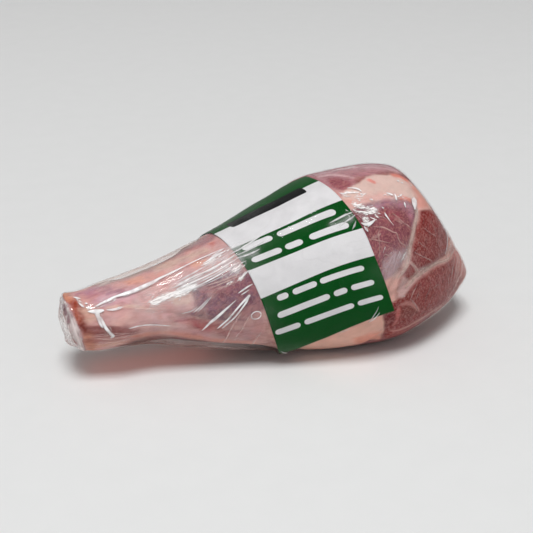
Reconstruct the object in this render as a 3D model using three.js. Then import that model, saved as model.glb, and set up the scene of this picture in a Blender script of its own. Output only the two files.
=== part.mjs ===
// Raw leg of lamb in a tight clear film, with a printed paper label wrapped round the thigh.
//
// Millimetres, +Z up. +X runs along the leg, from the sawn shank end to the rump. The origin is
// the middle of the wrapped leg's box, on the surface that it rests on.
//
// Two bodies:
//   wrapped_leg  the leg and its film as one solid, out to the film: a loft through upright
//                sections, pressed flat where it rests and where the rump was cut
//   label        the paper label, a thin curved sheet laid on the wrapped leg
//
// A place on the leg is a station x and a clock angle in degrees: 0 is the top, 90 the near side
// (-Y), 180 the underside and 270 the far side (+Y).

import * as THREE from "three";

const DEGREE = Math.PI / 180;

// ---------------------------------------------------------------- driving dimensions

// Sections across the leg. low and high are the heights of its underside and back line, halfWidth
// is half its breadth and side is how far its middle lies towards the far side. The thigh's
// sections run a little under the table, and the resting face below cuts them off.
const SECTIONS = [
  { x: -167, low: 22, high: 70, halfWidth: 24, side: -1 }, // sawn end of the shank
  { x: -155, low: 21, high: 70, halfWidth: 26, side: -1 },
  { x: -139, low: 22, high: 74, halfWidth: 28, side: -1 },
  { x: -110, low: 22, high: 82, halfWidth: 30, side: -1 },
  { x: -81, low: 15, high: 92, halfWidth: 35, side: -1 },
  { x: -47, low: 8, high: 106, halfWidth: 43, side: -1 }, // neck of the shank
  { x: -9, low: 2, high: 124, halfWidth: 52, side: -1 },
  { x: 28, low: -3, high: 140, halfWidth: 60, side: -1 },
  { x: 64, low: -4, high: 146, halfWidth: 64, side: -1 }, // thickest part of the thigh
  { x: 95, low: -2, high: 144, halfWidth: 64, side: 1 },
  { x: 121, low: 8, high: 135, halfWidth: 60, side: 4 },
  { x: 145, low: 18, high: 122, halfWidth: 54, side: 7 },
  { x: 163, low: 30, high: 105, halfWidth: 43, side: 9 },
  { x: 174, low: 39, high: 87, halfWidth: 30, side: 11 },
  { x: 179, low: 46, high: 64, halfWidth: 12, side: 12 }, // tip of the rump
];
const FIRST = SECTIONS[0];
const LAST = SECTIONS.at(-1);

// The shank is sawn off at a slant: its top leans out over this length from the sawn end.
const SAW_SLANT = 0.25;
const SAW_SLANT_REACH = 60;
const RIM_ROUND = 5; // rounding of the sawn end's rim

// Planes that the round loft is pressed back to, each with the softness of the edge it leaves.
const RUMP_SLOPE = 34 * DEGREE;
const PRESSED_FACES = [
  { normal: [0.62, -0.76, 0.12], distance: 115, softness: 8 }, // where the chump was cut off
  { normal: [Math.cos(RUMP_SLOPE), 0, Math.sin(RUMP_SLOPE)], distance: 166, softness: 4 },
  { normal: [0, 0, -1], distance: 0.4, softness: 1 }, // resting face, levelled off at z = 0
];

// The film bunches up over the sawn end: a low pleated dome, fuller on its lower side. skew says
// how much fuller, and fullest is the clock angle of its fullest side.
const FILM_DOME = { height: 6, skew: 0.45, fullest: 220, pleats: 9, pleatDepth: 1.1 };

// Seams between the muscles, pulled in as grooves: depth, half-width and a path of [x, clock].
const SEAMS = [
  { depth: 1.8, half: 4.5, path: [[107, 37], [102, 55], [96, 67], [86, 77], [77, 87], [67, 98]] },
  { depth: 1.8, half: 4.5, path: [[75, 97], [93, 89], [113, 87], [137, 85], [153, 81], [170, 72]] },
  { depth: 1.6, half: 5, path: [[67, 98], [72, 112], [75, 128], [66, 146]] },
  { depth: 1.2, half: 4, path: [[-131, 59], [-111, 75], [-96, 82], [-81, 89], [-66, 96], [-50, 103]] },
  { depth: 1.1, half: 4, path: [[-89, 91], [-74, 98], [-55, 110], [-30, 122]] },
  { depth: 1.6, half: 6, path: [[-120, 300], [-80, 290], [-30, 280], [30, 262], [90, 250], [140, 262]] },
  { depth: 1.6, half: 6, path: [[-60, 235], [0, 222], [60, 220], [110, 232]] },
  { depth: 1.4, half: 6, path: [[50, 330], [90, 322], [125, 306], [150, 290]] },
];

// Muscles and fat pads that swell between the seams: height, and reach along the surface.
const SWELLS = [
  { x: 78, clock: 62, height: 1.6, reach: 20 },
  { x: 124, clock: 62, height: 1.2, reach: 16 },
  { x: 122, clock: 112, height: 1.6, reach: 24 },
  { x: 84, clock: 12, height: 1.2, reach: 24 },
  { x: 24, clock: -30, height: 2.4, reach: 18 },
  { x: -60, clock: 62, height: 1.4, reach: 18 },
  { x: -135, clock: 110, height: 1.6, reach: 14 },
  { x: -120, clock: 30, height: 1.2, reach: 14 },
  { x: -70, clock: 268, height: 1.6, reach: 20 },
  { x: 60, clock: 290, height: 2, reach: 28 },
  { x: 20, clock: 240, height: 1.6, reach: 24 },
  { x: 110, clock: 268, height: 1.8, reach: 22 },
];

// The label's borders between its printed bands, from its far edge to its near lower edge. Each
// row gives the station and clock angle of the border's shank end and of its rump end.
const LABEL_ROWS = [
  { shank: [-59, -46], rump: [27, -12] }, // far edge
  { shank: [-51.5, -1], rump: [31.5, 4.5] },
  { shank: [-44, 30], rump: [41.4, 29.5] },
  { shank: [-36, 55.5], rump: [51.3, 51] },
  { shank: [-28.4, 81], rump: [58, 68.5] },
  { shank: [-19, 113], rump: [67, 87] },
  { shank: [-8, 146], rump: [76.5, 106.5] }, // near lower edge
];
const LABEL_SAG = { far: 3, near: -8 }; // how far a border's middle turns past the line of its ends
const LABEL_GAP = 0.4; // between the label and the leg
const LABEL_THICKNESS = 0.6;
const LABEL_CORNER_LIFT = 3; // the lower corner at the shank end curls off the leg
const LABEL_CORNER_REACH = 0.16; // share of the label's length and height that curls

// Mesh fineness.
const RING_POINTS = 62;
const LOFT_RINGS = 80;
const LOFT_CROWDING = 1.6; // over 1 sets the rings closer together towards the rump
const CAP_RINGS = 4;
const RIM_RINGS = 3;
const LABEL_ROWS_FINE = 30;
const LABEL_COLUMNS = 15;

// ---------------------------------------------------------------- the leg's form

// Cubic through the sections' values, with each slope weighed by the spacing on both sides.
function smoothThrough(xs, values, x) {
  const last = xs.length - 1;
  const chord = (i) => (values[i + 1] - values[i]) / (xs[i + 1] - xs[i]);
  const slope = (i) => {
    if (i === 0) return chord(0);
    if (i === last) return chord(last - 1);
    const before = xs[i] - xs[i - 1];
    const after = xs[i + 1] - xs[i];
    return (chord(i - 1) * after + chord(i) * before) / (before + after);
  };
  let i = 0;
  while (i < last - 1 && x > xs[i + 1]) i++;
  const width = xs[i + 1] - xs[i];
  const t = (x - xs[i]) / width;
  return (
    (2 * t ** 3 - 3 * t ** 2 + 1) * values[i] +
    (t ** 3 - 2 * t ** 2 + t) * width * slope(i) +
    (3 * t ** 2 - 2 * t ** 3) * values[i + 1] +
    (t ** 3 - t ** 2) * width * slope(i + 1)
  );
}

const sectionAt = (x, key) =>
  smoothThrough(
    SECTIONS.map((s) => s.x),
    SECTIONS.map((s) => s[key]),
    x,
  );

// Move a point that lies beyond a plane back to it, with a soft edge.
function pressTo(point, { normal, distance, softness }) {
  const n = new THREE.Vector3(...normal).normalize();
  const beyond = point.dot(n) - distance;
  const back = softness * Math.log1p(Math.exp(-Math.abs(beyond) / softness)) + Math.max(beyond, 0);
  return point.addScaledVector(n, -back);
}

// The wrapped leg's smooth surface. share shrinks the section towards its middle, for the caps.
function smoothPoint(x, clock, share = 1) {
  const low = sectionAt(x, "low");
  const high = sectionAt(x, "high");
  const angle = clock * DEGREE;
  const up = (share * (high - low) * Math.cos(angle)) / 2;
  const near = share * sectionAt(x, "halfWidth") * Math.sin(angle);
  const slant = SAW_SLANT * THREE.MathUtils.clamp(1 - (x - FIRST.x) / SAW_SLANT_REACH, 0, 1);
  const point = new THREE.Vector3(
    x - slant * up,
    sectionAt(x, "side") - near,
    (low + high) / 2 + up,
  );
  PRESSED_FACES.forEach((face) => pressTo(point, face));
  return point;
}

function outwardNormal(x, clock) {
  const step = 0.5; // mm along, and degrees round
  const before = smoothPoint(Math.max(x - step, FIRST.x), clock);
  const along = smoothPoint(Math.min(x + step, LAST.x), clock).sub(before);
  const round = smoothPoint(x, clock + step).sub(smoothPoint(x, clock - step));
  return round.cross(along).normalize();
}

const seamPoints = SEAMS.map((seam) => seam.path.map(([x, clock]) => smoothPoint(x, clock)));
const swellPoints = SWELLS.map(({ x, clock }) => smoothPoint(x, clock));

function distanceToPath(point, path) {
  const line = new THREE.Line3();
  const nearest = new THREE.Vector3();
  let least = Infinity;
  for (let i = 0; i + 1 < path.length; i++) {
    line.set(path[i], path[i + 1]).closestPointToPoint(point, true, nearest);
    least = Math.min(least, nearest.distanceTo(point));
  }
  return least;
}

const bell = (distance, reach) => Math.exp(-((distance / reach) ** 2));

const swellAt = (point) =>
  SWELLS.reduce(
    (sum, { height, reach }, i) => sum + height * bell(point.distanceTo(swellPoints[i]), reach),
    0,
  );

const grooveAt = (point) =>
  SEAMS.reduce(
    (sum, { depth, half }, i) => sum + depth * bell(distanceToPath(point, seamPoints[i]), half),
    0,
  );

// A point on the wrapped leg, never under the table.
function legPoint(x, clock) {
  const point = smoothPoint(x, clock);
  point.addScaledVector(outwardNormal(x, clock), swellAt(point) - grooveAt(point));
  point.z = Math.max(point.z, 0);
  return point;
}

// A point on a sheet that lies over the leg at a given height and bridges its seams.
function sheetPoint(x, clock, above) {
  const point = smoothPoint(x, clock);
  return point.addScaledVector(outwardNormal(x, clock), swellAt(point) + above);
}

// ---------------------------------------------------------------- meshes

// A closed body from rings of equal count between two poles.
function bodyFromRings(firstPole, rings, lastPole) {
  const count = rings[0].length;
  const points = [firstPole, ...rings.flat(), lastPole];
  const at = (ring, i) => 1 + ring * count + (i % count);
  const faces = [];
  for (let i = 0; i < count; i++) {
    faces.push(0, at(0, i + 1), at(0, i));
    for (let ring = 0; ring + 1 < rings.length; ring++) {
      faces.push(at(ring, i), at(ring + 1, i + 1), at(ring + 1, i));
      faces.push(at(ring, i), at(ring, i + 1), at(ring + 1, i + 1));
    }
    faces.push(points.length - 1, at(rings.length - 1, i), at(rings.length - 1, i + 1));
  }
  return meshGeometry(points, faces);
}

function meshGeometry(points, faces) {
  const geometry = new THREE.BufferGeometry().setFromPoints(points);
  geometry.setIndex(faces);
  geometry.computeVertexNormals();
  return geometry;
}

const ringOf = (pointAt) =>
  Array.from({ length: RING_POINTS }, (_, i) => pointAt((360 * i) / RING_POINTS));

// The sawn end under its bunched film: share is the distance from the middle, 1 at the rim.
function sawnEndPoint(share, clock) {
  const point = smoothPoint(FIRST.x, clock, share);
  const angle = clock * DEGREE;
  const fullness = 1 + FILM_DOME.skew * share * Math.cos(angle - FILM_DOME.fullest * DEGREE);
  const dome = FILM_DOME.height * (1 - share ** 2) * fullness;
  const pleat = FILM_DOME.pleatDepth * share * Math.cos(FILM_DOME.pleats * angle);
  point.x -= dome + pleat * (1 - share);
  return point;
}

function wrappedLegGeometry() {
  const rings = [];
  const rimShare = 1 - RIM_ROUND / FIRST.halfWidth;
  for (let i = 1; i <= CAP_RINGS; i++) {
    rings.push(ringOf((clock) => sawnEndPoint((rimShare * i) / CAP_RINGS, clock)));
  }
  for (let i = 1; i < RIM_RINGS; i++) {
    const turn = (i / RIM_RINGS) * 90 * DEGREE;
    const share = rimShare + (1 - rimShare) * Math.sin(turn);
    rings.push(
      ringOf((clock) => {
        const point = smoothPoint(FIRST.x, clock, share);
        point.x += RIM_ROUND * (1 - Math.cos(turn)) - FILM_DOME.height * (1 - share ** 2);
        return point;
      }),
    );
  }
  const start = FIRST.x + RIM_ROUND;
  for (let i = 0; i <= LOFT_RINGS; i++) {
    const t = 1 - (1 - i / LOFT_RINGS) ** LOFT_CROWDING;
    rings.push(ringOf((clock) => legPoint(start + (LAST.x - start) * t, clock)));
  }
  const tip = smoothPoint(LAST.x, 0, 0);
  return bodyFromRings(sawnEndPoint(0, 0), rings, tip);
}

// The label's surface: along runs from the shank end (0) to the rump end (1), and down from the
// far edge (0) to the near lower edge (1). above is the height over the label's back.
function labelPoint(along, down, above) {
  const rows = LABEL_ROWS.map((_, i) => i / (LABEL_ROWS.length - 1));
  const through = (end, part) => smoothThrough(rows, LABEL_ROWS.map((row) => row[end][part]), down);
  const x = THREE.MathUtils.lerp(through("shank", 0), through("rump", 0), along);
  const sag = THREE.MathUtils.lerp(LABEL_SAG.far, LABEL_SAG.near, down ** 2);
  const clock =
    THREE.MathUtils.lerp(through("shank", 1), through("rump", 1), along) +
    sag * 4 * along * (1 - along);
  const curl =
    THREE.MathUtils.smoothstep(down, 1 - LABEL_CORNER_REACH, 1) *
    (1 - THREE.MathUtils.smoothstep(along, 0, 2 * LABEL_CORNER_REACH));
  return sheetPoint(x, clock, LABEL_GAP + LABEL_CORNER_LIFT * curl + above);
}

function labelGeometry() {
  const rows = LABEL_ROWS_FINE + 1;
  const columns = LABEL_COLUMNS + 1;
  const points = [0, LABEL_THICKNESS].flatMap((above) =>
    Array.from({ length: rows * columns }, (_, i) =>
      labelPoint((i % columns) / LABEL_COLUMNS, Math.floor(i / columns) / LABEL_ROWS_FINE, above),
    ),
  );
  const inner = (row, column) => row * columns + column;
  const outer = (row, column) => inner(row, column) + rows * columns;
  const faces = [];
  const quad = (a, b, c, d) => faces.push(a, b, c, a, c, d);
  for (let row = 0; row < LABEL_ROWS_FINE; row++) {
    for (let column = 0; column < LABEL_COLUMNS; column++) {
      const corners = [[row, column], [row + 1, column], [row + 1, column + 1], [row, column + 1]];
      quad(...corners.map((corner) => outer(...corner)));
      quad(...corners.map((corner) => inner(...corner)).reverse());
    }
    quad(inner(row, 0), inner(row + 1, 0), outer(row + 1, 0), outer(row, 0));
    const end = LABEL_COLUMNS;
    quad(outer(row, end), outer(row + 1, end), inner(row + 1, end), inner(row, end));
  }
  for (let column = 0; column < LABEL_COLUMNS; column++) {
    quad(outer(0, column), outer(0, column + 1), inner(0, column + 1), inner(0, column));
    const end = LABEL_ROWS_FINE;
    quad(inner(end, column), inner(end, column + 1), outer(end, column + 1), outer(end, column));
  }
  return meshGeometry(points, faces);
}

function namedMesh(name, geometry, look) {
  const mesh = new THREE.Mesh(geometry, new THREE.MeshStandardMaterial(look));
  mesh.name = name;
  return mesh;
}

const lambLeg = new THREE.Group();
lambLeg.add(
  namedMesh("wrapped_leg", wrappedLegGeometry(), { color: 0xa8696a, roughness: 0.25, metalness: 0 }),
  namedMesh("label", labelGeometry(), { color: 0x0f5a2a, roughness: 0.4, metalness: 0 }),
);

export default lambLeg;
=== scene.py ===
"""Raw leg of lamb in clear film, with a printed label: the looks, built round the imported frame.

The form is worked out in millimetres by the same sections, pressed faces, seams and swells as the
solids, and is scaled to metres when a mesh is made. A place on the leg is a station x and a clock
angle in degrees: 0 is the top, 90 the near side (-Y), 180 the underside and 270 the far side.
Every path and outline is a list of such places. A colour in whole numbers is a 0-255 display value.
A noise is given as its height, its size in mm, which may differ by axis, and its seed.
"""

import math

import bpy
import numpy as np
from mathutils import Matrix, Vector
from mathutils.kdtree import KDTree


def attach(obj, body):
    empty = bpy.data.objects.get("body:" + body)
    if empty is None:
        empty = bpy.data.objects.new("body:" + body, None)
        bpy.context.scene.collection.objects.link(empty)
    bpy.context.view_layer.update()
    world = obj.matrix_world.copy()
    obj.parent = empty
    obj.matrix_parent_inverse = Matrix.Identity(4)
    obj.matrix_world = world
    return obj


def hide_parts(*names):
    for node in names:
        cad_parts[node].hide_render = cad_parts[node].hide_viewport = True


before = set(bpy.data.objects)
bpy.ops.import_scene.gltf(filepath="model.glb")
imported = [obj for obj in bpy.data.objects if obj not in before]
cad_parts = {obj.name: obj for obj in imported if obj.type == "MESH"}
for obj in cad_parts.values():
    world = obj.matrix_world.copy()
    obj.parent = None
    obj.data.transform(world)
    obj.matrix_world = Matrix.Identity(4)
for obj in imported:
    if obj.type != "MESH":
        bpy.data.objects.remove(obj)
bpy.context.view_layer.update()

MM = 0.001
TINY = 1e-9
ROOT = "root"

# ------------------------------------------------------------------ curves, bells and noise


def smooth_through(xs, values, x):
    """Cubic through the values, with each slope weighed by the spacing on both sides."""
    xs, values, x = (np.asarray(a, float) for a in (xs, values, x))
    gap = np.diff(xs)
    chord = np.diff(values) / gap
    inner = (chord[:-1] * gap[1:] + chord[1:] * gap[:-1]) / (gap[:-1] + gap[1:])
    slope = np.concatenate([chord[:1], inner, chord[-1:]])
    i = np.clip(np.searchsorted(xs, x, side="right") - 1, 0, len(xs) - 2)
    t = (x - xs[i]) / gap[i]
    return (
        (2 * t**3 - 3 * t**2 + 1) * values[i]
        + (t**3 - 2 * t**2 + t) * gap[i] * slope[i]
        + (3 * t**2 - 2 * t**3) * values[i + 1]
        + (t**3 - t**2) * gap[i] * slope[i + 1]
    )


def course(points, t):
    """The columns of a smooth curve through rows of numbers, at places t counted in rows."""
    points = np.asarray(points, float)
    rows = np.arange(len(points))
    return [smooth_through(rows, column, t) for column in points.T]


def smoothstep(low, high, x):
    t = np.clip((x - low) / (high - low), 0, 1)
    return t * t * (3 - 2 * t)


def fading(where, start, end):
    """1 from start to end, and down to 0 at both ends of 0 to 1."""
    return smoothstep(0, start, where) * smoothstep(1, end, where)


def bell(distance, reach):
    return np.exp(-((distance / reach) ** 2))


def length(v):
    return np.linalg.norm(v, axis=-1)


def unit(v):
    return v / np.maximum(length(v), TINY)[..., None]


def turn_between(clock, middle):
    """Degrees from the middle clock angle to another, from -180 to 180."""
    return (np.asarray(clock) - middle + 180) % 360 - 180


LATTICE_SIDE, LATTICE_SEED = 32, 11
LATTICE = np.random.default_rng(LATTICE_SEED).random((LATTICE_SIDE,) * 3)
SEED_SHIFT = 5.37  # how far each seed moves the noise through the lattice


def noise(p, size, seed):
    """Smooth lumps about size mm across, from -1 to 1. size may differ by axis."""
    q = np.asarray(p) / np.asarray(size) + SEED_SHIFT * seed
    i = np.floor(q).astype(int)
    f = q - i
    f = f * f * (3 - 2 * f)
    total = 0
    for corner in np.ndindex(2, 2, 2):
        weight = np.prod([f[..., k] if corner[k] else 1 - f[..., k] for k in range(3)], axis=0)
        at = [(i[..., k] + corner[k]) % LATTICE_SIDE for k in range(3)]
        total = total + weight * LATTICE[at[0], at[1], at[2]]
    return 2 * total - 1


def lumps(p, *layers):
    """Sum of noises, each given as its height, size and seed."""
    return sum(height * noise(p, size, seed) for height, size, seed in layers)


# ------------------------------------------------------------------ the leg's form, as in the CAD

# x, low, high, half width, side
SECTIONS = np.array([
    (-167, 22, 70, 24, -1),
    (-155, 21, 70, 26, -1),
    (-139, 22, 74, 28, -1),
    (-110, 22, 82, 30, -1),
    (-81, 15, 92, 35, -1),
    (-47, 8, 106, 43, -1),
    (-9, 2, 124, 52, -1),
    (28, -3, 140, 60, -1),
    (64, -4, 146, 64, -1),
    (95, -2, 144, 64, 1),
    (121, 8, 135, 60, 4),
    (145, 18, 122, 54, 7),
    (163, 30, 105, 43, 9),
    (174, 39, 87, 30, 11),
    (179, 46, 64, 12, 12),
], float)
SECTION_X, SECTION_HALF = SECTIONS[:, 0], SECTIONS[:, 3]
FIRST_X, LAST_X = SECTION_X[0], SECTION_X[-1]
SAWN_HALF = SECTION_HALF[0]
SAW_SLANT, SAW_SLANT_REACH, RIM_ROUND = 0.25, 60, 5
RUMP_SLOPE = math.radians(34)
PRESSED_FACES = [  # normal, distance, softness
    ((0.62, -0.76, 0.12), 115, 8),
    ((math.cos(RUMP_SLOPE), 0, math.sin(RUMP_SLOPE)), 166, 4),
    ((0, 0, -1), 0.4, 1),
]
SEAMS = [  # depth, half-width, path
    (1.8, 4.5, [(107, 37), (102, 55), (96, 67), (86, 77), (77, 87), (67, 98)]),
    (1.8, 4.5, [(75, 97), (93, 89), (113, 87), (137, 85), (153, 81), (170, 72)]),
    (1.6, 5, [(67, 98), (72, 112), (75, 128), (66, 146)]),
    (1.2, 4, [(-131, 59), (-111, 75), (-96, 82), (-81, 89), (-66, 96), (-50, 103)]),
    (1.1, 4, [(-89, 91), (-74, 98), (-55, 110), (-30, 122)]),
    (1.6, 6, [(-120, 300), (-80, 290), (-30, 280), (30, 262), (90, 250), (140, 262)]),
    (1.6, 6, [(-60, 235), (0, 222), (60, 220), (110, 232)]),
    (1.4, 6, [(50, 330), (90, 322), (125, 306), (150, 290)]),
]
SWELLS = [  # x, clock, height, reach
    (78, 62, 1.6, 20),
    (124, 62, 1.2, 16),
    (122, 112, 1.6, 24),
    (84, 12, 1.2, 24),
    (24, -30, 2.4, 18),
    (-60, 62, 1.4, 18),
    (-135, 110, 1.6, 14),
    (-120, 30, 1.2, 14),
    (-70, 268, 1.6, 20),
    (60, 290, 2, 28),
    (20, 240, 1.6, 24),
    (110, 268, 1.8, 22),
]
NORMAL_STEP = 0.5  # mm and degrees either side of the place where a normal is taken
CURVE_STEPS = 4  # straight steps from one place of a path to the next
UNROLL = math.pi / 180  # mm along the girth for each degree and mm of radius


def half_width(x):
    return smooth_through(SECTION_X, SECTION_HALF, x)


def smooth_point(x, clock, share=1.0):
    """The wrapped leg's smooth surface. share shrinks the section towards its middle."""
    x, clock = np.broadcast_arrays(np.asarray(x, float), np.asarray(clock, float))
    low, high, half, side = (smooth_through(SECTION_X, SECTIONS[:, k], x) for k in range(1, 5))
    angle = np.radians(clock)
    up = share * (high - low) / 2 * np.cos(angle)
    near = share * half * np.sin(angle)
    slant = SAW_SLANT * np.clip(1 - (x - FIRST_X) / SAW_SLANT_REACH, 0, 1)
    p = np.stack([x - slant * up, side - near, (low + high) / 2 + up], -1)
    for normal, distance, softness in PRESSED_FACES:
        n = np.array(normal) / np.linalg.norm(normal)
        beyond = p @ n - distance
        p = p - (softness * np.logaddexp(0, beyond / softness))[..., None] * n
    return p


SAWN_MIDDLE = smooth_point(FIRST_X, 0, 0.0)


def outward(x, clock):
    """Unit normals of the smooth surface."""
    before = smooth_point(np.maximum(x - NORMAL_STEP, FIRST_X), clock)
    along = smooth_point(np.minimum(x + NORMAL_STEP, LAST_X), clock) - before
    around = smooth_point(x, clock + NORMAL_STEP) - smooth_point(x, clock - NORMAL_STEP)
    return unit(np.cross(around, along))


def distance_to_line(p, points):
    """Distance from each p to a line of points, and how far along the line (0 to 1) it is met."""
    best = np.full(p.shape[:-1], np.inf)
    where = np.zeros(p.shape[:-1])
    lengths = length(np.diff(points, axis=0))
    starts = np.concatenate([[0], np.cumsum(lengths)])
    for a, b, span, start in zip(points[:-1], points[1:], lengths, starts):
        t = np.clip((p - a) @ (b - a) / span**2, 0, 1)
        d = length(p - a - t[..., None] * (b - a))
        closer = d < best
        best = np.where(closer, d, best)
        where = np.where(closer, (start + t * span) / starts[-1], where)
    return best, where


def path_distance(p, path):
    """distance_to_line for a smooth curve on the surface, through the path's places."""
    t = np.linspace(0, len(path) - 1, CURVE_STEPS * (len(path) - 1) + 1)
    return distance_to_line(p, smooth_point(*course(path, t)))


def swell_at(p):
    return sum(height * bell(length(p - smooth_point(x, clock)), reach) for x, clock, height, reach in SWELLS)


def groove_at(p, narrow=1.0):
    """Depth of the seams. narrow makes them sharper than the solid's."""
    return sum(
        depth * bell(distance_to_line(p, smooth_point(*np.array(path, float).T))[0], half * narrow)
        for depth, half, path in SEAMS
    )


def off_middle(p):
    """Offset across and up from the middle of the sawn end."""
    return p[..., 1:] - SAWN_MIDDLE[1:]


# ------------------------------------------------------------------ mesh making

SKIN_RINGS, SKIN_COLUMNS = 300, 300
NEAR_CLOCK, NEAR_CROWDING = 62, 30  # the skin's columns crowd towards the near side
TIP_CROWDING = 1.35  # its rings crowd towards the tip of the rump
ATTRIBUTE_KINDS = {1: ("FLOAT", "value"), 3: ("FLOAT_VECTOR", "vector"), 4: ("FLOAT_COLOR", "color")}


def grid_faces(rows, columns, closed):
    """Quads of a grid of points. closed joins the last column to the first."""
    last = columns if closed else columns - 1
    r, c = np.meshgrid(np.arange(rows - 1), np.arange(last), indexing="ij")
    d = (c + 1) % columns
    quads = [r * columns + c, r * columns + d, (r + 1) * columns + d, (r + 1) * columns + c]
    return np.stack(quads, -1).reshape(-1, 4)


def capped_faces(rows, columns):
    """Faces of a grid that closes round its rows, and of a fan from each of its ends to a point.

    The points of the two fans follow those of the grid.
    """
    around = np.arange(columns)
    following = np.roll(around, -1)
    last = (rows - 1) * columns
    start = np.stack([np.full(columns, rows * columns), following, around], -1)
    end = np.stack([np.full(columns, rows * columns + 1), last + around, last + following], -1)
    return [grid_faces(rows, columns, closed=True), start, end]


def capped_grid(grid):
    """Points and faces of a grid that closes round its rows, with a fan over each end."""
    grid = np.asarray(grid)
    points = np.concatenate([grid.reshape(-1, 3), [grid[0].mean(axis=0)], [grid[-1].mean(axis=0)]])
    return points, capped_faces(*grid.shape[:2])


def closed_skin(end_rows, start, skin_point):
    """A closed skin from the middle of the sawn end to the tip of the rump, with its places."""
    turn = np.arange(SKIN_COLUMNS) / SKIN_COLUMNS
    clock = 360 * turn + NEAR_CLOCK - NEAR_CROWDING * np.sin(2 * math.pi * turn)
    ends = end_rows(clock)
    t = 1 - (1 - np.linspace(0, 1, SKIN_RINGS)) ** TIP_CROWDING
    x, grid_clock = np.meshgrid(start + (LAST_X - start) * t, clock, indexing="ij")
    grid = np.concatenate([np.array(ends), skin_point(x, grid_clock)])
    points, faces = capped_grid(grid)
    end_x = np.full(len(ends) * SKIN_COLUMNS, FIRST_X)
    at_x = np.concatenate([end_x, x.ravel(), [FIRST_X, LAST_X]])
    at_clock = np.concatenate([np.tile(clock, len(grid)), [0, 0]])
    return points, faces, at_x, at_clock


def join_bodies(bodies):
    """One set of points and faces from several."""
    points, faces, start = [], [], 0
    for body_points, body_faces, *_ in bodies:
        points.append(body_points)
        faces += [f + start for f in body_faces]
        start += len(body_points)
    return np.concatenate(points), faces


def add_object(name, data):
    obj = bpy.data.objects.new(name, data)
    bpy.context.scene.collection.objects.link(obj)
    return obj


def add_attribute(mesh, name, values):
    """A number, a vector or, with four parts, a colour for each point."""
    values = np.asarray(values, np.float32)
    kind, field = ATTRIBUTE_KINDS[values[0].size]
    layers = mesh.color_attributes if field == "color" else mesh.attributes
    layers.new(name, kind, "POINT").data.foreach_set(field, values.ravel())


def make_piece(name, points, faces, material, slot, smooth=True, attributes=None):
    """A mesh object from points in millimetres. faces is a list of arrays of quads or triangles."""
    mesh = bpy.data.meshes.new(name)
    mesh.from_pydata((points * MM).tolist(), [], [face for group in faces for face in group.tolist()])
    mesh.update()
    if smooth:
        mesh.polygons.foreach_set("use_smooth", np.ones(len(mesh.polygons), bool))
    for key, values in (attributes or {}).items():
        add_attribute(mesh, key, values)
    mesh.materials.append(material)
    obj = add_object(name, mesh)
    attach(obj, ROOT)
    return obj


# ------------------------------------------------------------------ material helpers


def linear(red, green, blue):
    """Linear colour from 0-255 display values."""
    c = np.array([red, green, blue]) / 255
    return np.where(c <= 0.04045, c / 12.92, ((c + 0.055) / 1.055) ** 2.4)


def socket_colour(values):
    return (*[float(v) for v in values], 1.0)


def shown(red, green, blue):
    """A socket's colour from 0-255 display values."""
    return socket_colour(linear(red, green, blue))


class Nodes:
    """Short calls for building a material's nodes."""

    def __init__(self, name):
        self.material = bpy.data.materials.new(name)
        self.material.use_nodes = True
        self.tree = self.material.node_tree
        self.tree.nodes.clear()
        self.output = self.add("ShaderNodeOutputMaterial")

    def add(self, kind, inputs=None, **settings):
        node = self.tree.nodes.new(kind)
        for key, value in settings.items():
            setattr(node, key, value)
        for key, value in (inputs or {}).items():
            self.feed(node.inputs[key], value)
        return node

    def feed(self, socket, value):
        if isinstance(value, bpy.types.NodeSocket):
            self.tree.links.new(value, socket)
        else:
            socket.default_value = value

    def math(self, operation, a, b=0.0):
        return self.add("ShaderNodeMath", {0: a, 1: b}, operation=operation).outputs[0]

    def plus(self, a, b):
        return self.math("ADD", a, b)

    def times(self, a, b):
        return self.math("MULTIPLY", a, b)

    def spread(self, value, low, high, to_low=0.0, to_high=1.0):
        """The value with low to high mapped to a new range, and clamped to it."""
        return self.add("ShaderNodeMapRange", {
            "Value": value, "From Min": low, "From Max": high, "To Min": to_low, "To Max": to_high,
        }).outputs[0]

    def mix(self, factor, a, b, blend="MIX"):
        inputs = {0: factor, 6: a, 7: b}
        return self.add("ShaderNodeMix", inputs, data_type="RGBA", blend_type=blend).outputs[2]

    def grey(self, value):
        return self.add("ShaderNodeCombineColor", {"Red": value, "Green": value, "Blue": value}).outputs[0]

    def place(self):
        return self.add("ShaderNodeTexCoord").outputs["Object"]

    def attribute(self, name, output="Fac"):
        return self.add("ShaderNodeAttribute", attribute_name=name).outputs[output]

    def noise(self, vector, scale, detail, roughness, distortion=0.0):
        return self.add("ShaderNodeTexNoise", {
            "Vector": vector, "Scale": scale, "Detail": detail,
            "Roughness": roughness, "Distortion": distortion,
        }).outputs["Fac"]

    def stretched(self, vector, scale):
        return self.add("ShaderNodeMapping", {"Vector": vector, "Scale": scale}).outputs[0]

    def bump(self, height, strength, distance):
        inputs = {"Height": height, "Strength": strength, "Distance": distance}
        return self.add("ShaderNodeBump", inputs).outputs[0]

    def clear(self, tint):
        return self.add("ShaderNodeBsdfTransparent", {"Color": tint}).outputs[0]

    def diffuse(self, tint):
        return self.add("ShaderNodeBsdfDiffuse", {"Color": tint}).outputs[0]

    def over(self, share, below, above):
        """Two shaders, of which the second covers a share."""
        return self.add("ShaderNodeMixShader", {0: share, 1: below, 2: above}).outputs[0]

    def principled(self, **inputs):
        """Ends the material in a principled shader. Underscores stand for spaces in input names."""
        named = {key.replace("_", " "): value for key, value in inputs.items()}
        return self.finish(self.add("ShaderNodeBsdfPrincipled", named).outputs[0])

    def finish(self, shader):
        self.feed(self.output.inputs["Surface"], shader)
        return self.material


# ------------------------------------------------------------------ label's form

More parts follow.
